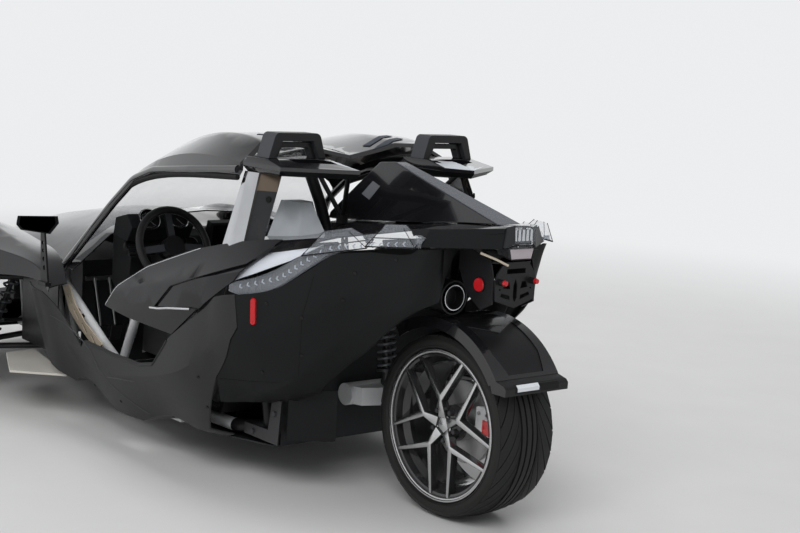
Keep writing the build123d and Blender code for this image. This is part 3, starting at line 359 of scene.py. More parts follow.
def rim(name, body, hub, out, bead, half):
    """Rim with its cap and nuts, its open face towards out, all sizes in mm."""
    first_spoke, spoke_step = 14, 72
    edge, lip, seat = half + 8, bead + 18, bead - 0.5
    well = seat - 22
    front = [(lip, edge - 1), (lip - 1, edge), (lip - 6, edge), (lip - 8, edge - 3), (lip - 13, edge - 4),
             (lip - 15, edge - 8), (seat - 8, edge - 12), (seat - 9, half - 34), (well - 7, half - 52)]
    back = [(well - 7, -(half - 52)), (seat - 8, -(half - 34)), (seat - 8, -(edge - 10)), (lip - 5, -edge),
            (lip, -edge), (lip, -half - 0.5), (seat, -half - 0.5), (seat, -(half - 34)), (well, -(half - 50)),
            (well, half - 50), (seat, half - 34), (seat, half + 0.5), (lip, half + 0.5)]
    form = spun([(r, y * out) for r, y in front + back], hub, 144)
    bmesh.ops.recalc_face_normals(form, faces=form.faces)
    for face in form.faces:
        middle = face.calc_center_median() - hub
        if abs(face.normal.y) > 0.7 and middle.y * out * 1000 > edge - 6:
            face.material_index = 1

    fork, reach, spread = 0.38 * bead, lip - 13, radians(26)
    run = Vector((reach * cos(spread) - fork, reach * sin(spread))).normalized()
    aside = Vector((-run.y, run.x))
    knee, tip = Vector((fork, 0)), Vector((reach * cos(spread), reach * sin(spread)))
    upper = [knee + aside * 13, tip + aside * 7.5, tip - aside * 7.5]
    outline = [(26, -20), (60, -15)] + [(p.x, -p.y) for p in upper] + [(fork + 10 / run.y, 0)]
    outline += [(p.x, p.y) for p in upper[::-1]] + [(60, 15), (26, 20)]
    for i in range(5):
        turn = radians(first_spoke + spoke_step * i)
        fronts = []
        for x, z in outline:
            reach_here = sqrt(x * x + z * z)
            sunk = 12 * max(0.0, (0.9 * fork - reach_here) / (0.9 * fork - 26))
            fronts.append(form.verts.new(hub + Vector((x * cos(turn) - z * sin(turn), out * (edge - 7 - sunk),
                                                       x * sin(turn) + z * cos(turn))) / 1000))
        face = form.faces.new(fronts)
        for vert in extruded(form, [face]):
            vert.co.y -= out * 0.030
        face.material_index = 1
        bmesh.ops.bevel(form, geom=face.edges[:], offset=0.0022, segments=2, affect="EDGES", profile=0.5,
                        material=0)
    hub_disc = [(0.4, half - 24), (0.4, half - 74), (66, half - 74), (66, half - 40), (60, half - 30),
                (44, half - 24)]
    spun([(r, y * out) for r, y in hub_disc], hub, 64, form)
    piece(name + "_alloy", form, rim_black, machined, body=body, crease=30, stands_for=(name,))
    cap = [(0.4, half - 26), (40, half - 26), (40, half - 17), (37, half - 14), (31, half - 14),
           (30, half - 16), (0.4, half - 13)]
    piece(name + "_cap", spun([(r, y * out) for r, y in cap], hub, 64), machined, body=body)
    nuts = bmesh.new()
    for i in range(5):
        turn = radians(first_spoke + spoke_step * (i + 0.5))
        centre = hub + Vector((57 * cos(turn), out * (half - 24), 57 * sin(turn))) / 1000
        stud(nuts, centre, (0, out, 0), 0.0105, 0.022, 6, 6 / 7, 0.0)
    piece(name + "_nuts", nuts, dark_steel, body=body)


for name, body, hub, out, width, radius, bead, half in wheels:
    rim(f"{name}_rim", body, hub, out, bead, half)


# Hubs, discs and knuckles: ground steel discs, the driven wheel's shaft with its toothed pulley, and cast
# knuckles with their stub axles. They keep the solids' own shapes, with every edge rounded a little.
def solid(node):
    """A CAD solid as one closed bmesh, its loose triangles joined."""
    form = bmesh.new()
    form.from_mesh(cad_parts[node].data)
    bmesh.ops.remove_doubles(form, verts=form.verts, dist=1e-5)
    bmesh.ops.dissolve_limit(form, angle_limit=radians(0.08), verts=form.verts, edges=form.edges)
    return form


def edged(made, width, segments=2):
    """Rounds every sharp edge of a piece a little, so that it catches the light."""
    bevel = made.modifiers.new("edges", "BEVEL")
    bevel.width = width
    bevel.segments = segments
    bevel.limit_method = "ANGLE"
    bevel.angle_limit = radians(32)
    bevel.harden_normals = True
    return made


def dressed(node, *finishes, body="body", edge=0.0015, choose=None, cuts=()):
    """A CAD node's own shape with rounded edges. Where there is a choose, it picks each face's finish from
    the face's place in the drawing's millimetres and its normal, and cuts part faces beforehand."""
    form = solid(node)
    for place, normal in cuts:
        everything = form.verts[:] + form.edges[:] + form.faces[:]
        bmesh.ops.bisect_plane(form, geom=everything, plane_co=spot(*place), plane_no=normal)
    if choose:
        form.normal_update()
        for face in form.faces:
            place = face.calc_center_median() * 1000
            face.material_index = choose(place.x + rear_axle, place.y, place.z, face.normal)
    made = piece(node + "_shell", form, *finishes, body=body, stands_for=(node,), outwards=False)
    if edge:
        edged(made, edge)


brake_steel = metal("brake_steel", (0.50, 0.50, 0.50), 0.30, 1.0, 0.2, 700.0)
cast_silver = metal("cast_silver", (0.80, 0.81, 0.82), 0.40, 0.15, 0.25, 350.0)
dressed("rear_hub", brake_steel, body="rear_wheel", edge=0.001)
for hand, out in both_sides:
    dressed(f"front_{hand}_disc", brake_steel, body=f"{hand}_wheel", edge=0.001)
    dressed(f"front_{hand}_knuckle", cast_silver, body=f"{hand}_knuckle")


# Rear caliper: its body is cast in one with the hub carrier. A red lacquered plate sits on its outer face
# between four bolts.
def brick(form, place, size, turn=Matrix.Identity(3)):
    """Box of that size in metres about a point, turned or leaned by a matrix."""
    shape = Matrix.Translation(place) @ turn.to_4x4() @ Matrix.Diagonal((*size, 1))
    bmesh.ops.create_cube(form, size=1.0, matrix=shape)


def slab(form, low, high):
    """Box between two corners given in the drawing's millimetres."""
    low, high = spot(*low), spot(*high)
    brick(form, (low + high) / 2, high - low)


caliper_red = lacquer("caliper_red", (0.45, 0.012, 0.015), dusty=0.05)
plate = bmesh.new()
slab(plate, (-166, 26, 318), (-124, 30, 372))
edged(piece("rear_caliper_plate", plate, caliper_red), 0.002)
bolts = bmesh.new()
for x, z in ((-146, 300), (-146, 392), (-104, 300), (-104, 392)):
    stud(bolts, spot(x, 27, z), (0, 1, 0), 0.007, 0.008, 6)
piece("rear_caliper_bolts", bolts, brake_steel)

# Swingarm and drive: a cast arm on the wheel's right, the rubber belt beside it, and behind the seats the
# cast housing that turns the engine's drive across to the belt.
belt_rubber = moulding("belt_rubber", (0.022, 0.022, 0.022), 0.5)
engine_metal = metal("engine_metal", (0.20, 0.20, 0.21), 0.5, 0.6, 0.5, 260.0)
dressed("swingarm", cast_silver, edge=0.003)
dressed("drive_belt", belt_rubber, edge=0.001)
dressed("angle_drive", engine_metal, edge=0.002)

# Suspension: dark steel wishbones and track rods, and dampers with an eye at each end. Round each damper
# a spring of round wire is wound between two plates.
dressed("front_arms", dark_steel, edge=0.001)
dressed("tie_rods", dark_steel, body="rack", edge=0.001)
spring_grey = metal("spring_grey", (0.16, 0.17, 0.18), 0.35, 0.4)


def settled(made):
    """Mesh of an object as its modifiers or its curve's thickness leave it."""
    return bpy.data.meshes.new_from_object(made.evaluated_get(bpy.context.evaluated_depsgraph_get()))


def bar(name, points, radius, finish, order=4, closed=False):
    """Round bar on the body along points in metres: straight between them at order 2, smooth above."""
    line = bpy.data.curves.new(name, "CURVE")
    line.dimensions = "3D"
    spline = line.splines.new("NURBS")
    spline.points.add(len(points) - 1)
    for point, place in zip(spline.points, points):
        point.co = (*place, 1)
    spline.order_u = order
    spline.use_endpoint_u = not closed
    spline.use_cyclic_u = closed
    spline.resolution_u = 6
    line.bevel_depth, line.bevel_resolution = radius, 2
    line.use_fill_caps = True
    holder = linked(name, line)
    mesh = settled(holder)
    bpy.data.objects.remove(holder)
    form = bmesh.new()
    form.from_mesh(mesh)
    bpy.data.meshes.remove(mesh)
    bmesh.ops.remove_doubles(form, verts=form.verts, dist=1e-6)
    piece(name, form, finish, crease=40)


def damper(name, low, high, radius, stands_for=()):
    """Damper between two of the drawing's points, with a spring of that outer radius in metres."""
    low, high = spot(*low), spot(*high)
    length = (high - low).length
    run = (high - low).normalized()
    turn = towards(run)
    plate, turns, around = radius + 0.003, 7, 8
    unit = bmesh.new()
    for start, end, r in ((-0.005, 0.42 * length, 0.019), (0.3 * length, length, 0.012),
                          (0.040, 0.052, plate), (length - 0.052, length - 0.040, plate)):
        stud(unit, low + run * (start + end) / 2, run, r, end - start, 32, 1.0, 0.0)
    for eye in (low, high):
        stud(unit, eye, turn @ Vector((1, 0, 0)), 0.019, 0.033, 32, 1.0, 0.0)
    edged(piece(name + "_body", unit, dark_steel, stands_for=stands_for), 0.001)
    coil = []
    for i in range(around * turns + 1):
        angle = 2 * pi * i / around
        reach = (radius - 0.005) / cos(pi / around)
        rise = 0.057 + i / (around * turns) * (length - 0.114)
        coil.append(low + turn @ Vector((reach * cos(angle), reach * sin(angle), rise)))
    bar(name + "_spring", coil, 0.0055, spring_grey)


damper("left_damper", (2667, 600, 201), (2667, 430, 610), 0.036, ("dampers",))
damper("right_damper", (2667, -600, 201), (2667, -430, 610), 0.036)
damper("rear_damper", (415, 20, 395), (450, 20, 690), 0.038)

# Frame: bent steel tubes in white powder coat, with a black two-piece clamp where the dash leg meets the
# cowl. Where the tubes run behind the panels they are satin black as painted shade. The engine, floor
# pans, pedals and tan kick strips are fixed to it.
behind_panels = 760
frame_white = metal("frame_white", (0.72, 0.73, 0.74), 0.34, 0.0, 0.08)
satin_black = moulding("satin_black", (0.006, 0.006, 0.007), 0.34, 0.12, 1300.0, shine=0.3)
grey_lining = moulding("grey_lining", (0.018, 0.019, 0.021), 0.6)
strip_tan = moulding("strip_tan", (0.40, 0.34, 0.26), 0.55)
# The rails' black part behind the panels is painted shade.
for node, cuts in (("frame_rails", [((behind_panels, 0, 0), (1, 0, 0))]), ("frame_cross_tubes", ())):
    dressed(node, frame_white, satin_black, edge=0, cuts=cuts,
            choose=lambda x, y, z, normal: int(x < behind_panels))
clamps = bmesh.new()
leg = Vector((sin(radians(60)), 0, cos(radians(60))))
for out in (1, -1):
    for x, z in ((1742, 450), (1778, 471)):
        stud(clamps, spot(x, out * 584, z), leg, 0.0235, 0.022, 40, 1.0, 0.0)
edged(piece("tube_clamps", clamps, satin_black), 0.002)
dressed("engine", engine_metal, edge=0.008)
dressed("tub_plates", grey_lining, edge=0.001)
dressed("pedals", brake_steel, edge=0.002)
dressed("kick_strips", strip_tan, edge=0.0008)

# Side and rear panels: matte moulded plastic, with a bead along the step-in edge, a crease along the belly,
# seams between the mouldings, and small dark screws. Bare plates, a bolt in each, close the rail's end.
seam_dark = moulding("seam_dark", (0.004, 0.004, 0.004), 0.7)
matte_black = moulding("matte_black", (0.006, 0.0065, 0.007), 0.50, shine=0.18)
pod_grey = moulding("pod_grey", (0.020, 0.020, 0.021), 0.46)
crease_grey = moulding("crease_grey", (0.04, 0.04, 0.042), 0.38)
plate_grey = moulding("plate_grey", (0.030, 0.030, 0.032), 0.5)
dressed("side_pods", pod_grey, edge=0.0025)
dressed("rear_quarters", matte_black, plate_grey,
        choose=lambda x, y, z, normal: int(460 < abs(y) < 470 and z < 360 and abs(normal.y) > 0.5))
skins = {}


def touch(node, start, along, proud=0.0):
    """Point where a ray first meets a node, lifted by proud metres, and the normal there, or None."""
    if node not in skins:
        form = solid(node)
        skins[node] = BVHTree.FromBMesh(form)
        form.free()
    place, normal, _, _ = skins[node].ray_cast(start, Vector(along))
    return place and (place + normal * proud, normal)


def skin(node, x, z, out=1, far=1100, proud=0.0):
    """The same for a level line across the car, from that side."""
    return touch(node, spot(x, out * far, z), (0, -out, 0), proud)


def seam(name, node, line, radius, finish, steps=10, proud=0.0):
    """Bead that follows a panel's surface along a line of (x, z), on both sides of the car."""
    stops = [(x0 + (x1 - x0) * i / steps, z0 + (z1 - z0) * i / steps)
             for (x0, z0), (x1, z1) in zip(line, line[1:]) for i in range(steps)] + [line[-1]]
    for hand, out in both_sides:
        touches = [skin(node, x, z, out, proud=proud) for x, z in stops]
        bar(f"{hand}_{name}", [met[0] for met in touches if met], radius, finish, 3)


def screws(name, node, places):
    """Small dark heads on a node at places of (x, z), on both sides of the car."""
    form = bmesh.new()
    for out in (1, -1):
        for x, z in places:
            met = skin(node, x, z, out)
            if met:
                stud(form, *met, 0.006, 0.0036)
    piece(name, form, satin_black)


seam("quarter_seam", "rear_quarters", [(248, 848), (290, 660), (334, 478)], 0.0016, seam_dark)
seam("quarter_fold", "rear_quarters", [(620, 424), (500, 432), (392, 447)], 0.0016, seam_dark)
seam("pod_crease", "side_pods", [(1740, 470), (1560, 420), (1463, 373), (1300, 250), (1139, 172)], 0.0024,
     crease_grey)
seam("pod_mark", "side_pods", [(1325, 290), (1215, 306), (1108, 315)], 0.002, crease_grey)
seam("pod_lip", "side_pods", [(1522, 404), (1490, 398), (1280, 388), (1067, 390), (960, 414), (906, 480),
                              (872, 528)], 0.0065, satin_black, 8, -0.003)
screws("quarter_screws", "rear_quarters", [(27, 931), (169, 776), (133, 874), (280, 700), (310, 560),
                                           (560, 600), (440, 480), (-120, 950), (380, 740)])
screws("pod_screws", "side_pods", [(700, 300), (690, 420), (1560, 200), (1300, 190), (1000, 190)])
plate_bolts = bmesh.new()
for out in (1, -1):
    for x, z in ((640, 205), (508, 300)):
        stud(plate_bolts, spot(x, out * 468, z), (0, out, 0), 0.011, 0.010, 6)
piece("plate_bolts", plate_bolts, dark_steel)

# Side markers: long red lenses with rounded ends, one on each rear panel. Each is a round pulled out to a
# slot, raised with some draft and laid on the panel's slope.
red_lens = moulding("red_lens", (0.42, 0.008, 0.012), 0.16, 0.05, shine=0.5)
marker = bmesh.new()
for out in (1, -1):
    top, low = skin("rear_quarters", 417, 750, out)[0], skin("rear_quarters", 422, 662, out)[0]
    across = (top - low).normalized()
    normal = skin("rear_quarters", 420, 706, out)[1]
    turn = Matrix((normal.cross(across).normalized(), across, normal)).transposed()
    made = bmesh.ops.create_circle(marker, cap_ends=True, radius=0.011, segments=32)["verts"]
    for vert in made:
        vert.co.y += 0.038 if vert.co.y > 0 else -0.038
    raised = extruded(marker, list({face for vert in made for face in vert.link_faces}))
    for vert in raised:
        vert.co = Vector((vert.co.x * 0.8, vert.co.y * 0.95, 0.009))
    for vert in made + raised:
        vert.co = (top + low) / 2 + turn @ vert.co
edged(piece("side_markers", marker, red_lens), 0.001)

# Side blades: gloss lacquered panels over the mouldings, each with a sunk chevron. A thin bright metal bar at
# the chevron's point and another along the panel's upper edge are painted highlights.
deep_black = lacquer("deep_black", (0.003, 0.003, 0.004), dusty=0.02, coat=0.2, shine=0.25)
dressed("side_blades", deep_black, edge=0.0018)
bright_trim = metal("bright_trim", (0.75, 0.76, 0.78), 0.18, 1.0, 0.03)
# Both bright bars below are painted highlights on the gloss blade.
seam("blade_point_highlight", "side_blades", [(988, 629), (930, 635), (850, 650), (717, 669)], 0.0045, bright_trim, 6,
     0.001)
seam("blade_edge_highlight", "side_blades", [(1338, 582), (1258, 668), (1088, 767), (880, 846), (756, 893), (640, 930)],
     0.0016, bright_trim, 8)


# Shoulder lamps: clear mouldings over a row of small bright chevrons, with a pale crowned cover on their
# forward part. Two faceted prisms with black edges stand on each.
def clear(name, tint, rough, alpha):
    """Clear moulding or glass that lets part of the light through."""
    glass, place, feed = new_finish(name, Roughness=rough, IOR=1.5, Coat_Weight=0.5)
    film = cloud(place, 20.0, 5.0)
    feed("Base Color", mixed(tint, [c * 0.9 for c in tint], film))
    feed("Alpha", alpha + 0.08 * film)
    return glass


clear_lens = clear("clear_lens", (0.62, 0.66, 0.72), 0.05, 0.13)
lens_pale = lacquer("lens_pale", (0.44, 0.46, 0.50), dusty=0.05)
dressed("shoulder_lamps", clear_lens, edge=0.001)
led_silver = metal("led_silver", (0.46, 0.51, 0.58), 0.3, 0.4)
chevrons = bmesh.new()
lamp_middle = [(486, 782), (347, 832), (243, 926), (190, 958), (-30, 994)]
chevron_pitch, chevron_limb = 22, (0.005, 0.008, 0.003)
for out in (1, -1):
    for (x0, z0), (x1, z1) in zip(lamp_middle, lamp_middle[1:]):
        count = max(int(Vector((x1 - x0, z1 - z0)).length / chevron_pitch), 1)
        for i in range(count):
            share = (i + 0.5) / count
            met = skin("shoulder_lamps", x0 + (x1 - x0) * share, z0 + (z1 - z0) * share, out, proud=-0.003)
            if not met:
                continue
            place, normal = met
            run = Vector((x1 - x0, 0, z1 - z0)).normalized()
            run = (run - normal * run.dot(normal)).normalized()
            rise = normal.cross(run).normalized()
            for sign in (1, -1):
                lean = Matrix((run, rise * sign + run * 0.8, normal)).transposed()
                brick(chevrons, place + lean @ Vector((0, chevron_limb[1] / 2, 0)), chevron_limb, lean)
piece("lamp_chevrons", chevrons, led_silver)
lamp_top = [(548, 655, 812, 596, 884), (520, 672, 798, 580, 889), (450, 626, 833, 566, 901),
            (400, 588, 861, 547, 912), (347, 548, 890, 525, 925), (290, 515, 926, 502, 939),
            (245, 485, 957, 483, 949)]
for hand, out in both_sides:
    sheet = bmesh.new()
    rows = []
    for x, y0, z0, y1, z1 in lamp_top:
        low, high = spot(x, out * y0, z0), spot(x, out * y1, z1)
        crown = Vector((-0.3, out * 0.75, 0.6)).normalized() * 0.12 * (high - low).length
        rows.append([sheet.verts.new(low.lerp(high, t) + crown * 4 * t * (1 - t))
                     for t in (0, 0.25, 0.5, 0.75, 1)])
    for row, after in zip(rows, rows[1:]):
        for i in range(4):
            sheet.faces.new((row[i], row[i + 1], after[i + 1], after[i]))
    bmesh.ops.recalc_face_normals(sheet, faces=sheet.faces)
    bmesh.ops.solidify(sheet, geom=sheet.faces[:], thickness=0.004)
    piece(f"{hand}_lamp_top", sheet, lens_pale, crease=50)
prisms = (("upper", (215, 446, 948, 236, 12)), ("lower", (42, 343, 984, 172, 3)))
for hand, out in both_sides:
    for place, (x, y, z, length, rise) in prisms:
        turn = (Matrix.Translation(spot(x, y, z)) @ Matrix.Rotation(radians(36.5), 4, "Z")
                @ Matrix.Rotation(radians(-12), 4, "X") @ Matrix.Rotation(radians(rise), 4, "Y"))
        base = [(length / 2, 48), (-length / 2, 48), (-length / 2, -48), (length / 2, -48)]
        crest = [(0.17 * length, 19), (-0.25 * length, 19), (-0.25 * length, -19), (0.17 * length, -19)]
        low = [turn @ (Vector((a, b, 3)) / 1000) for a, b in base]
        top = [turn @ (Vector((a, b, 62)) / 1000) for a, b in crest]
        for points in (low, top):
            for point in points:
                point.y *= out
        bar(f"{hand}_{place}_prism_foot", low, 0.0022, seam_dark, 2, True)
        for i in range(4):
            bar(f"{hand}_{place}_prism_edge_{i}", [low[i], top[i]], 0.0012, seam_dark, 2)

# Deck and fin: gloss black mouldings behind the seats. Below the deck's edge runs a matte band, and a small
# grey square sits on each side of the fin's front. The fin's ridge is satin, tinted blue-grey as a painted
# sky reflection. Pale humps stand behind the seats.
gloss_black = lacquer("gloss_black", (0.004, 0.004, 0.005))
# Blue-grey tint on the fin's ridge: painted sky reflection.
ridge_sky_reflection = moulding("ridge_sky_reflection", (0.045, 0.050, 0.062), 0.26, 0.05, shine=0.25)
patch_grey = moulding("patch_grey", (0.22, 0.23, 0.25), 0.35, 0.05)
pale_silver = metal("pale_silver", (0.62, 0.66, 0.70), 0.24, 0.25, 0.04)
dressed("rear_deck", gloss_black, matte_black, edge=0.002,
        choose=lambda x, y, z, normal: int(abs(normal.z) < 0.45 and x < 60))
dressed("rear_fin", gloss_black, ridge_sky_reflection, edge=0.004,
        choose=lambda x, y, z, normal: int(abs(normal.y) < 0.5 and normal.z > 0.2 and x < 440))
fin_patch = bmesh.new()
for out in (1, -1):
    corners = [skin("rear_fin", x, z, out, 300, 0.0008)[0]
               for x, z in ((528, 1147), (480, 1132), (519, 1077), (571, 1094))]
    fin_patch.faces.new([fin_patch.verts.new(corner) for corner in corners])
bmesh.ops.solidify(fin_patch, geom=fin_patch.faces[:], thickness=-0.0015)
piece("fin_patches", fin_patch, patch_grey)
dressed("headrest_humps", pale_silver, edge=0.004)

# Hoops, wings and posts: satin hoops with paler sides on gloss wings. Under each wing stand a chromed
# pillar, whose facets that don't face sideways are tinted warm as a painted reflection, with a bronze and
# grey panel, a black strut and a gloss foot, and inboard a tube and a V brace.
chrome = metal("chrome", (0.62, 0.63, 0.65), 0.12, 1.0, 0.03)
# Warm tint for the pillar's facets that don't face sideways: a painted reflection.
pillar_warm_reflection = metal("pillar_warm_reflection", (0.20, 0.19, 0.17), 0.3, 0.6, 0.05)
bronze = metal("bronze", (0.20, 0.155, 0.115), 0.34, 0.7, 0.1)
hoop_grey = moulding("hoop_grey", (0.035, 0.037, 0.042), 0.4)
dressed("roll_hoops", satin_black, hoop_grey, edge=0.003,
        choose=lambda x, y, z, normal: int(abs(normal.y) > 0.55))


def wing_face(x, y, z, normal):
    """0 gloss, 1 matte on the inner undersides and the step, 2 pale on the middle's upper face."""
    if z < 1200 and normal.z > 0.9 and x < 580:
        return 1
    if normal.z > 0.25 and x < 500 and abs(y) < 330:
        return 2
    return int(normal.z < -0.3 and abs(y) < 495)


dressed("hoop_wings", gloss_black, matte_black, pale_silver, edge=0.003, choose=wing_face)
panel_split = 1108


def post_face(x, y, z, normal):
    """0 chromed pillar, 1 bronze, 2 grey, 3 black, 4 gloss, 5 warm satin, a painted reflection on the
    pillar's facets that don't face sideways, from the drawing's rings.
    """
    y = abs(y)
    if y < 400:
        return 3
    if x > 575 + 46 * (z - 890) / 282 and y > 420:
        # The pillar's facets that don't face sideways get the painted warm reflection.
        return 0 if abs(normal.y) > 0.72 else 5
    if z < 1004 and y < 553 - 0.2 * (z - 925) and x < 606:
        return 4
    strut = (z - 960) / 214
    if abs(x - (568 - 22 * strut)) < 18 and abs(y - (500 - 68 * strut)) < 18:
        return 3
    return 1 if z > panel_split else 2


dressed("hoop_posts", chrome, bronze, grey_lining, satin_black, gloss_black, pillar_warm_reflection, edge=0.002,
        choose=post_face, cuts=[((0, 0, panel_split), (0, 0, 1))])
panel_studs = bmesh.new()
for out in (1, -1):
    stud(panel_studs, spot(562, out * 502, 1080), (-0.62, out * 0.78, 0.1), 0.011, 0.006, 24)
piece("panel_studs", panel_studs, seam_dark)

# Exhaust: a black steel silencer above the rear wheel, left of the middle. A bright turned ring sits inside
# its open end.
dressed("exhaust", satin_black, edge=0.002)
ring = spun([(41, 0), (46, 0), (46, 30), (41, 30)], spot(-18, 100, 793), 64, axis=(1, 0, 0))
edged(piece("exhaust_ring", ring, bright_trim), 0.001)

# Roof: two gloss arched halves with a rubber seal along each side, on slim pillars down to the cowl. Each
# half has two slanted vents beside the valley.
roof_gloss = lacquer("roof_gloss", (0.004, 0.004, 0.005), coat=1.0, shine=0.9)
dressed("roof", roof_gloss, edge=0.002)
seal_rubber = moulding("seal_rubber", (0.008, 0.008, 0.008), 0.6)
for hand, out in both_sides:
    bar(f"{hand}_roof_seal", [spot(x, out * y, z) for x, y, z in (
        (1545, 546, 1006), (1440, 551, 1052), (1290, 553, 1098), (1027, 553, 1128), (850, 549, 1138),
        (712, 538, 1146))], 0.011, seal_rubber)
vent_blue = moulding("vent_blue", (0.028, 0.034, 0.045), 0.5)
vents = bmesh.new()
for out in (1, -1):
    for line in (((759, 125), (856, 325), (838, 345), (741, 150)),
                 ((815, 118), (915, 318), (897, 336), (797, 140))):
        corners = []
        for i, (x, y) in enumerate(line):
            x1, y1 = line[(i + 1) % 4]
            steps = 6 if i % 2 == 0 else 1
            for k in range(steps):
                above_roof = spot(x + (x1 - x) * k / steps, out * (y + (y1 - y) * k / steps), 1500)
                met = touch("roof", above_roof, (0, 0, -1), 0.0015)
                if met:
                    corners.append(vents.verts.new(met[0]))
        if len(corners) > 3:
            vents.faces.new(corners)
bmesh.ops.triangulate(vents, faces=vents.faces[:])
bmesh.ops.solidify(vents, geom=vents.faces[:], thickness=0.002)
piece("roof_vents", vents, vent_blue)

# Windscreen: one thin clear sheet that stands on the cowl. A violet to green tint grows towards its foot,
# which Alpha makes a little denser.
screen_glass, place, feed = new_finish("screen_glass", Roughness=0.03, IOR=1.45, Coat_Weight=0.3)
height = place.make("SeparateXYZ", {}, {0: place}, 2)
foot = eased(height, 0.72, 1.02, 1.0, 0.0)
hue = cloud(place, 3.2, 2.0)
tint = mixed((0.30, 0.16, 0.42), (0.16, 0.42, 0.32), hue)
feed("Base Color", mixed((0.55, 0.62, 0.62), tint, foot))
feed("Alpha", 0.09 + 0.30 * foot + 0.05 * cloud(place, 20.0, 5.0))
dressed("windscreen", screen_glass, edge=0)

# Hood, nose and front fenders: gloss panels over a matte bumper, whose slatted grille stands in front of the
# radiator. Each headlamp is a clear cover over two bright bowls, and satin panels with pale deflectors at
# their foot close the inner sides.
deflector_beige = moulding("deflector_beige", (0.50, 0.48, 0.44), 0.5)
core_grey = metal("core_grey", (0.10, 0.10, 0.10), 0.5, 0.7, 0.6, 300.0)
dressed("hood", gloss_black, edge=0.002)
dressed("nose", matte_black, edge=0.003)
dressed("front_fenders", gloss_black, edge=0.002)
slats = bmesh.new()
lean = Matrix(((1, 0, 0), (0, 1, 0), (-8 / 26, 0, 1)))
for i in range(9):
    brick(slats, spot(3150 - 0.1 * i, 0, 312 + 18.5 * i), (0.026, 0.600, 0.004), lean)
edged(piece("grille_slats", slats, satin_black), 0.001)
core = bmesh.new()
slab(core, (2996, -330, 306), (3030, 330, 520))
piece("radiator_core", core, core_grey)
dressed("headlamps", clear_lens, edge=0.001)
bowls = bmesh.new()
for out in (1, -1):
    for y, z in ((352, 458), (430, 466)):
        spun([(0.5, 8), (14, 10), (26, 30), (31, 48), (33, 48), (28, 28), (15, 6), (0.5, 4)],
             spot(3100, out * y, z), 40, bowls, (1, 0, 0))
piece("headlamp_bowls", bowls, chrome)
dressed("inner_side_panels", satin_black, deflector_beige, edge=0.002,
        choose=lambda x, y, z, normal: int(z < 212))

# Cockpit: grained black and grey mouldings. The dash carries two ringed gauges, a dark screen and round
# vents, and the wheel has a stitched leather rim on three grey spokes.
screen_dark = lacquer("screen_dark", (0.006, 0.007, 0.009), dusty=0.02)
dressed("dashboard", matte_black, edge=0.008)
dressed("steering_column", satin_black, edge=0.002)
dressed("centre_console", grey_lining, edge=0.008)
facing = Vector((-0.81, 0, 0.59)).normalized()
turn = towards(facing)
gauge_middle, ring_height = spot(1585, 335, 866), 0.0362
pods, dials, marks, needles = bmesh.new(), bmesh.new(), bmesh.new(), bmesh.new()
for aside in (-0.068, 0.068):
    centre = gauge_middle + Vector((0, aside, 0))
    spun([(0.5, -30), (47, -30), (50, 20), (50, 34), (47.5, 36), (46, 37.5), (44.5, 36), (41, 22), (0.5, 22)],
         centre, 48, pods, facing)
    face_place = Matrix.Translation(centre + facing * 0.0235) @ turn.to_4x4()
    bmesh.ops.create_circle(dials, cap_ends=True, radius=0.041, segments=48, matrix=face_place)
    for i in range(21):
        swing = turn @ Matrix.Rotation(radians(135 - 13.5 * i), 3, "Z")
        length = 0.008 if i % 4 == 0 else 0.004
        brick(marks, centre + swing @ Vector((0, 0.034, 0.0242)), (0.0016, length, 0.0006), swing)
    swing = turn @ Matrix.Rotation(radians(128), 3, "Z")
    brick(needles, centre + swing @ Vector((0, 0.012, 0.026)), (0.002, 0.034, 0.001), swing)
for face in pods.faces:
    face.material_index = int((face.calc_center_median() - gauge_middle).dot(facing) > ring_height)
piece("gauge_pods", pods, satin_black, bright_trim, crease=25)
piece("gauge_dials", dials, seam_dark)
piece("gauge_marks", marks, patch_grey)
piece("gauge_needles", needles, patch_grey)
display = bmesh.new()
for y, z in ((-86, 742), (86, 742), (86, 850), (-86, 850)):
    display.verts.new(spot(1582 - 20 * (z - 730) / 130 - 2.5, y, z))
display.faces.new(display.verts[:])
bmesh.ops.solidify(display, geom=display.faces[:], thickness=0.003)
edged(piece("dash_screen", display, screen_dark), 0.001)
vent_rings = bmesh.new()
facing = (-0.85, 0, 0.53)
turn = towards(facing)
for y in (-160, 160, -430, 450):
    centre = spot(1617, y, 764)
    spun([(30, -14), (34, -14), (34, 4), (30, 6), (27, 2)], centre, 40, vent_rings, facing)
    for i in range(-2, 3):
        length = 2 * sqrt(0.029 ** 2 - (i * 0.010) ** 2)
        brick(vent_rings, centre + turn @ Vector((i * 0.010, 0, -0.002)), (0.002, length, 0.008), turn)
piece("dash_vents", vent_rings, satin_black, crease=25)

column_axis = Vector((-cos(radians(24)), 0, sin(radians(24))))
column_top = spot(1470, 335, 780)


def wheel_face(x, y, z, normal):
    """0 leather rim, 1 grey spokes, 2 black boss."""
    away = spot(x, y, z) - column_top
    radius = (away - column_axis * away.dot(column_axis)).length
    if radius > 0.140:
        return 0
    return 1 if radius > 0.052 and normal.dot(column_axis) > 0.3 else 2


hide_black = moulding("hide_black", (0.012, 0.012, 0.013), 0.42, 0.5, 420.0)
dressed("steering_wheel", hide_black, hoop_grey, satin_black, body="steering", edge=0.003,
        choose=wheel_face)
stitches, stitch_count = bmesh.new(), 120
for i in range(stitch_count):
    swing = towards(column_axis) @ Matrix.Rotation(2 * pi * i / stitch_count, 3, "Z")
    brick(stitches, column_top + swing @ Vector((0.1435, 0, 0.0005)), (0.0012, 0.0045, 0.0012), swing)
piece("wheel_stitching", stitches, patch_grey, body="steering")

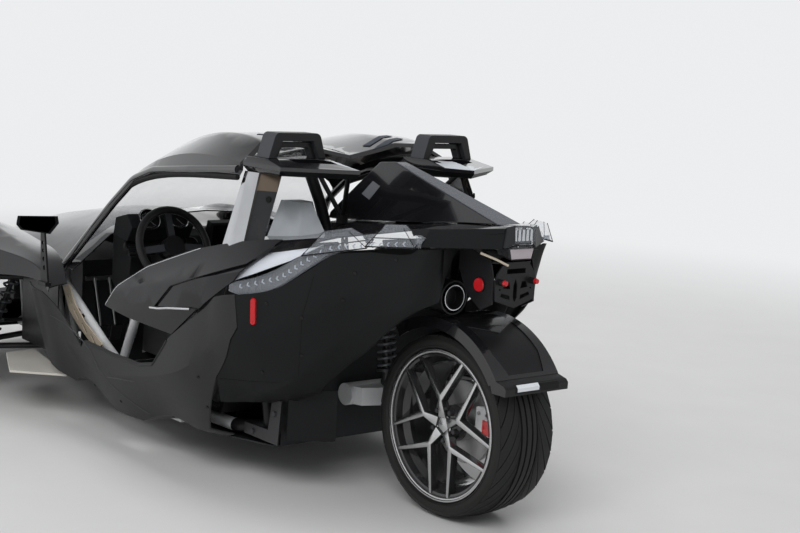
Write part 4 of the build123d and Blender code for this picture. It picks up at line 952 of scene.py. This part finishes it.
# Seats: a moulded black tub with a filled cushion, back and two side bolsters in synthetic leather, with
# sewn channels across the middle panels.
seat_hide, place, feed = new_finish("seat_hide", IOR=1.45, Sheen_Weight=0.2)
folds = cloud(place, 26.0, 5.0)
feed("Base Color", mixed((0.016, 0.016, 0.018), (0.036, 0.036, 0.040), cloud(place, 7.0, 5.0)))
feed("Roughness", 0.44 + 0.18 * (folds - 0.5))
grain = place.make("TexVoronoi", {"feature": "DISTANCE_TO_EDGE"}, {"Vector": place, "Scale": 520.0})
feed("Normal", bumped(grain * 0.6 + folds * 0.8, 0.35, 0.0006))


def side_solid(form, line, low, high):
    """Solid with a side outline of (x, z) from y low to y high, in the drawing's millimetres."""
    face = form.faces.new([form.verts.new(spot(x, low, z)) for x, z in line])
    for vert in extruded(form, [face]):
        vert.co.y = high / 1000


tub_line = [(792, 242), (1228, 242), (1308, 338), (1288, 344), (1214, 262), (806, 262), (712, 428),
            (640, 866), (652, 898), (646, 903), (619, 880), (694, 422)]
tubs = bmesh.new()
for out in (1, -1):
    side_solid(tubs, tub_line, *sorted((out * 110, out * 519)))
    for foot in (out * 335 - 88, out * 335 + 60):
        slab(tubs, (825, foot, 162), (1195, foot + 28, 241))
edged(piece("seat_tubs", tubs, satin_black, stands_for=("seats",)), 0.003)


def filled(name, line, low, high, rounding, channels):
    """A pad sewn to a side outline and blown up by a cloth run, with channels pressed in across it."""
    most_blown, channel_deep, channel_half = 0.012, 0.006, 0.012
    form = bmesh.new()
    side_solid(form, line, low, high)
    bmesh.ops.recalc_face_normals(form, faces=form.faces)
    bmesh.ops.bevel(form, geom=form.edges[:], offset=rounding, segments=3, affect="EDGES", profile=0.5,
                    material=-1)
    mesh = bpy.data.meshes.new(name)
    form.to_mesh(mesh)
    form.free()
    made = linked(name, mesh)
    net = made.modifiers.new("net", "REMESH")
    net.mode = "VOXEL"
    net.voxel_size = 0.0065
    made.data = settled(made)
    made.modifiers.clear()
    fill = made.modifiers.new("fill", "CLOTH")
    fill.settings.use_pressure = True
    fill.settings.uniform_pressure_force = 4.0
    fill.settings.effector_weights.gravity = 0.0
    for step in range(1, 21):
        scene.frame_set(step)
    blown = settled(made)
    made.modifiers.clear()
    scene.frame_set(1)
    for old, new in zip(made.data.vertices, blown.vertices):
        move = new.co - old.co
        old.co += move * min(1.0, most_blown / max(move.length, 1e-6))
    bpy.data.meshes.remove(blown)
    form = bmesh.new()
    form.from_mesh(made.data)
    bpy.data.objects.remove(made)
    for _ in range(3):
        bmesh.ops.smooth_vert(form, verts=form.verts, factor=0.5, use_axis_x=True, use_axis_y=True,
                              use_axis_z=True)
    form.normal_update()
    for vert in form.verts:
        depth = 0.0
        for (x, y, z), across in channels:
            away = abs((vert.co - spot(x, y, z)).dot(Vector(across).normalized()))
            depth = max(depth, channel_deep * max(0.0, 1 - away / channel_half) ** 2)
        vert.co -= vert.normal * depth
    made = piece(name, form, seat_hide, crease=180)
    smooth = made.modifiers.new("smooth", "SUBSURF")
    smooth.levels = smooth.render_levels = 1


cushion_line = [(856, 268), (1210, 268), (1288, 336), (1274, 362), (915, 288), (868, 306)]
back_line = [(722, 436), (800, 330), (846, 342), (786, 560), (712, 852), (656, 886), (640, 862), (664, 700)]
side_line = [(812, 268), (1212, 268), (1292, 342), (1268, 398), (985, 390), (900, 458), (782, 792),
             (706, 868), (656, 888), (640, 862), (716, 432)]
across_cushion = [((x, 0, 0), (1, 0, 0.2)) for x in (960, 1040, 1120, 1200)]
across_back = [((700, 0, z), (0.25, 0, 1)) for z in (440, 520, 600, 680, 770)]
for hand, out in both_sides:
    for part, line, low, high, rounding, channels in (
            ("cushion", cushion_line, 190, 480, 0.012, across_cushion),
            ("back", back_line, 190, 480, 0.014, across_back),
            ("inner_bolster", side_line, 118, 182, 0.016, ()),
            ("outer_bolster", side_line, 488, 514, 0.010, ())):
        filled(f"{hand}_seat_{part}", line, *sorted((out * low, out * high)), rounding, channels)

# Tail lamp: a clear stepped lens with bright reflectors inside its upper tier and a dull mauve lower tier.
# A pale bar slants down on its left to the slotted black holder, which carries red lamps and reflectors.
mauve_lens = lacquer("mauve_lens", (0.30, 0.26, 0.28), dusty=0.05)
strip_gold = metal("strip_gold", (0.62, 0.55, 0.44), 0.3, 0.5, 0.05)
dressed("tail_lamp", clear_lens, mauve_lens, grey_lining, edge=0.001,
        choose=lambda x, y, z, normal: 2 if abs(normal.y) > 0.6 else int(z < 991))
lamp_core = bmesh.new()
for x0, x1, half, z0, z1 in ((-206, -222, 52, 1004, 1050), (-222, -229, 44, 1012, 1054)):
    slab(lamp_core, (x1, -half, z0), (x0, half, z1))
piece("tail_lamp_core", lamp_core, seam_dark)
tail_bowls = bmesh.new()
for y in (-38, -19, 0, 19, 38):
    stud(tail_bowls, spot(-231, y, 1038), (0, 0, 1), 0.0075, 0.040, 24, 0.8, 0.0)
edged(piece("tail_lamp_reflectors", tail_bowls, chrome), 0.001)
for name, line in (("step", [(-222, 64, 992), (-240, 47, 1004), (-241, -47, 1004), (-222, -64, 992)]),
                   ("lower_edge", [(-200, 68, 966), (-230, 46, 954), (-230, -46, 954), (-200, -68, 966)])):
    bar(f"tail_lamp_{name}", [spot(*place) for place in line], 0.0022, seam_dark, 2)
dressed("plate_bracket", satin_black, edge=0.0008)
bar("plate_light_bar", [spot(-172, 138, 974), spot(-205, 90, 953), spot(-222, 52, 934)], 0.0045,
    strip_gold, 2)
reflectors = bmesh.new()
for out in (1, -1):
    stud(reflectors, spot(-142, out * 107, 859), (0, out, 0), 0.024, 0.005, 40, 0.92)
for y in (74, -74):
    stud(reflectors, spot(-232, y, 876), (-1, 0, 0), 0.0105, 0.012, 24, 0.8)
piece("red_reflectors", reflectors, red_lens)

# Rear fender: gloss hoop over the tyre, with a satin arrow sunk into it and a satin bar across its end,
# which holds a clear reflector in a black frame.
reflector_clear = lacquer("reflector_clear", (0.55, 0.57, 0.60), dusty=0.03)


def fender_face(x, y, z, normal):
    """1 satin in the arrow sunk round the hoop's middle and on the bar, 0 gloss elsewhere."""
    reach = sqrt((x - 12) ** 2 + (z - 340) ** 2)
    sunk = abs(y) < 109 and 377 < reach < 380.6 and abs(normal.y) < 0.5
    return int(sunk or (x < -262 and z < 566))


dressed("rear_fender", gloss_black, satin_black, edge=0.002, choose=fender_face)
for name, low_y, high_y, rows, finish in (
        ("bar_frame", -104, 104, ((-350.6, 521), (-350.6, 538.4), (-338, 549.4)), seam_dark),
        ("bar_reflector", -8, 94, ((-351.4, 526), (-351.4, 538.8), (-342, 548.8)), reflector_clear)):
    strip = bmesh.new()
    ends = [[strip.verts.new(spot(x, y, z)) for x, z in rows] for y in (low_y, high_y)]
    for i in (0, 1):
        strip.faces.new((ends[0][i], ends[1][i], ends[1][i + 1], ends[0][i + 1]))
    bmesh.ops.recalc_face_normals(strip, faces=strip.faces)
    bmesh.ops.solidify(strip, geom=strip.faces[:], thickness=0.0012)
    piece(name, strip, finish)

# Mirrors: dark moulded housings on pierced stems beside the cowl. Each glass is set into the back of its
# housing.
mirror_face = metal("mirror_face", (0.80, 0.82, 0.84), 0.03, 1.0, 0.0)
dressed("mirrors", satin_black, edge=0.001)
glasses = bmesh.new()
for out in (1, -1):
    corners = []
    for dy, dz in ((-92, 30), (-98, 0), (-60, -44), (70, -22), (90, 0), (84, 36)):
        corners.append(glasses.verts.new(spot(1729.5, out * (828 + 0.84 * dy), 856 + 0.84 * dz)))
    glasses.faces.new(corners)
bmesh.ops.solidify(glasses, geom=glasses.faces[:], thickness=0.002)
edged(piece("mirror_glasses", glasses, mirror_face), 0.0006)
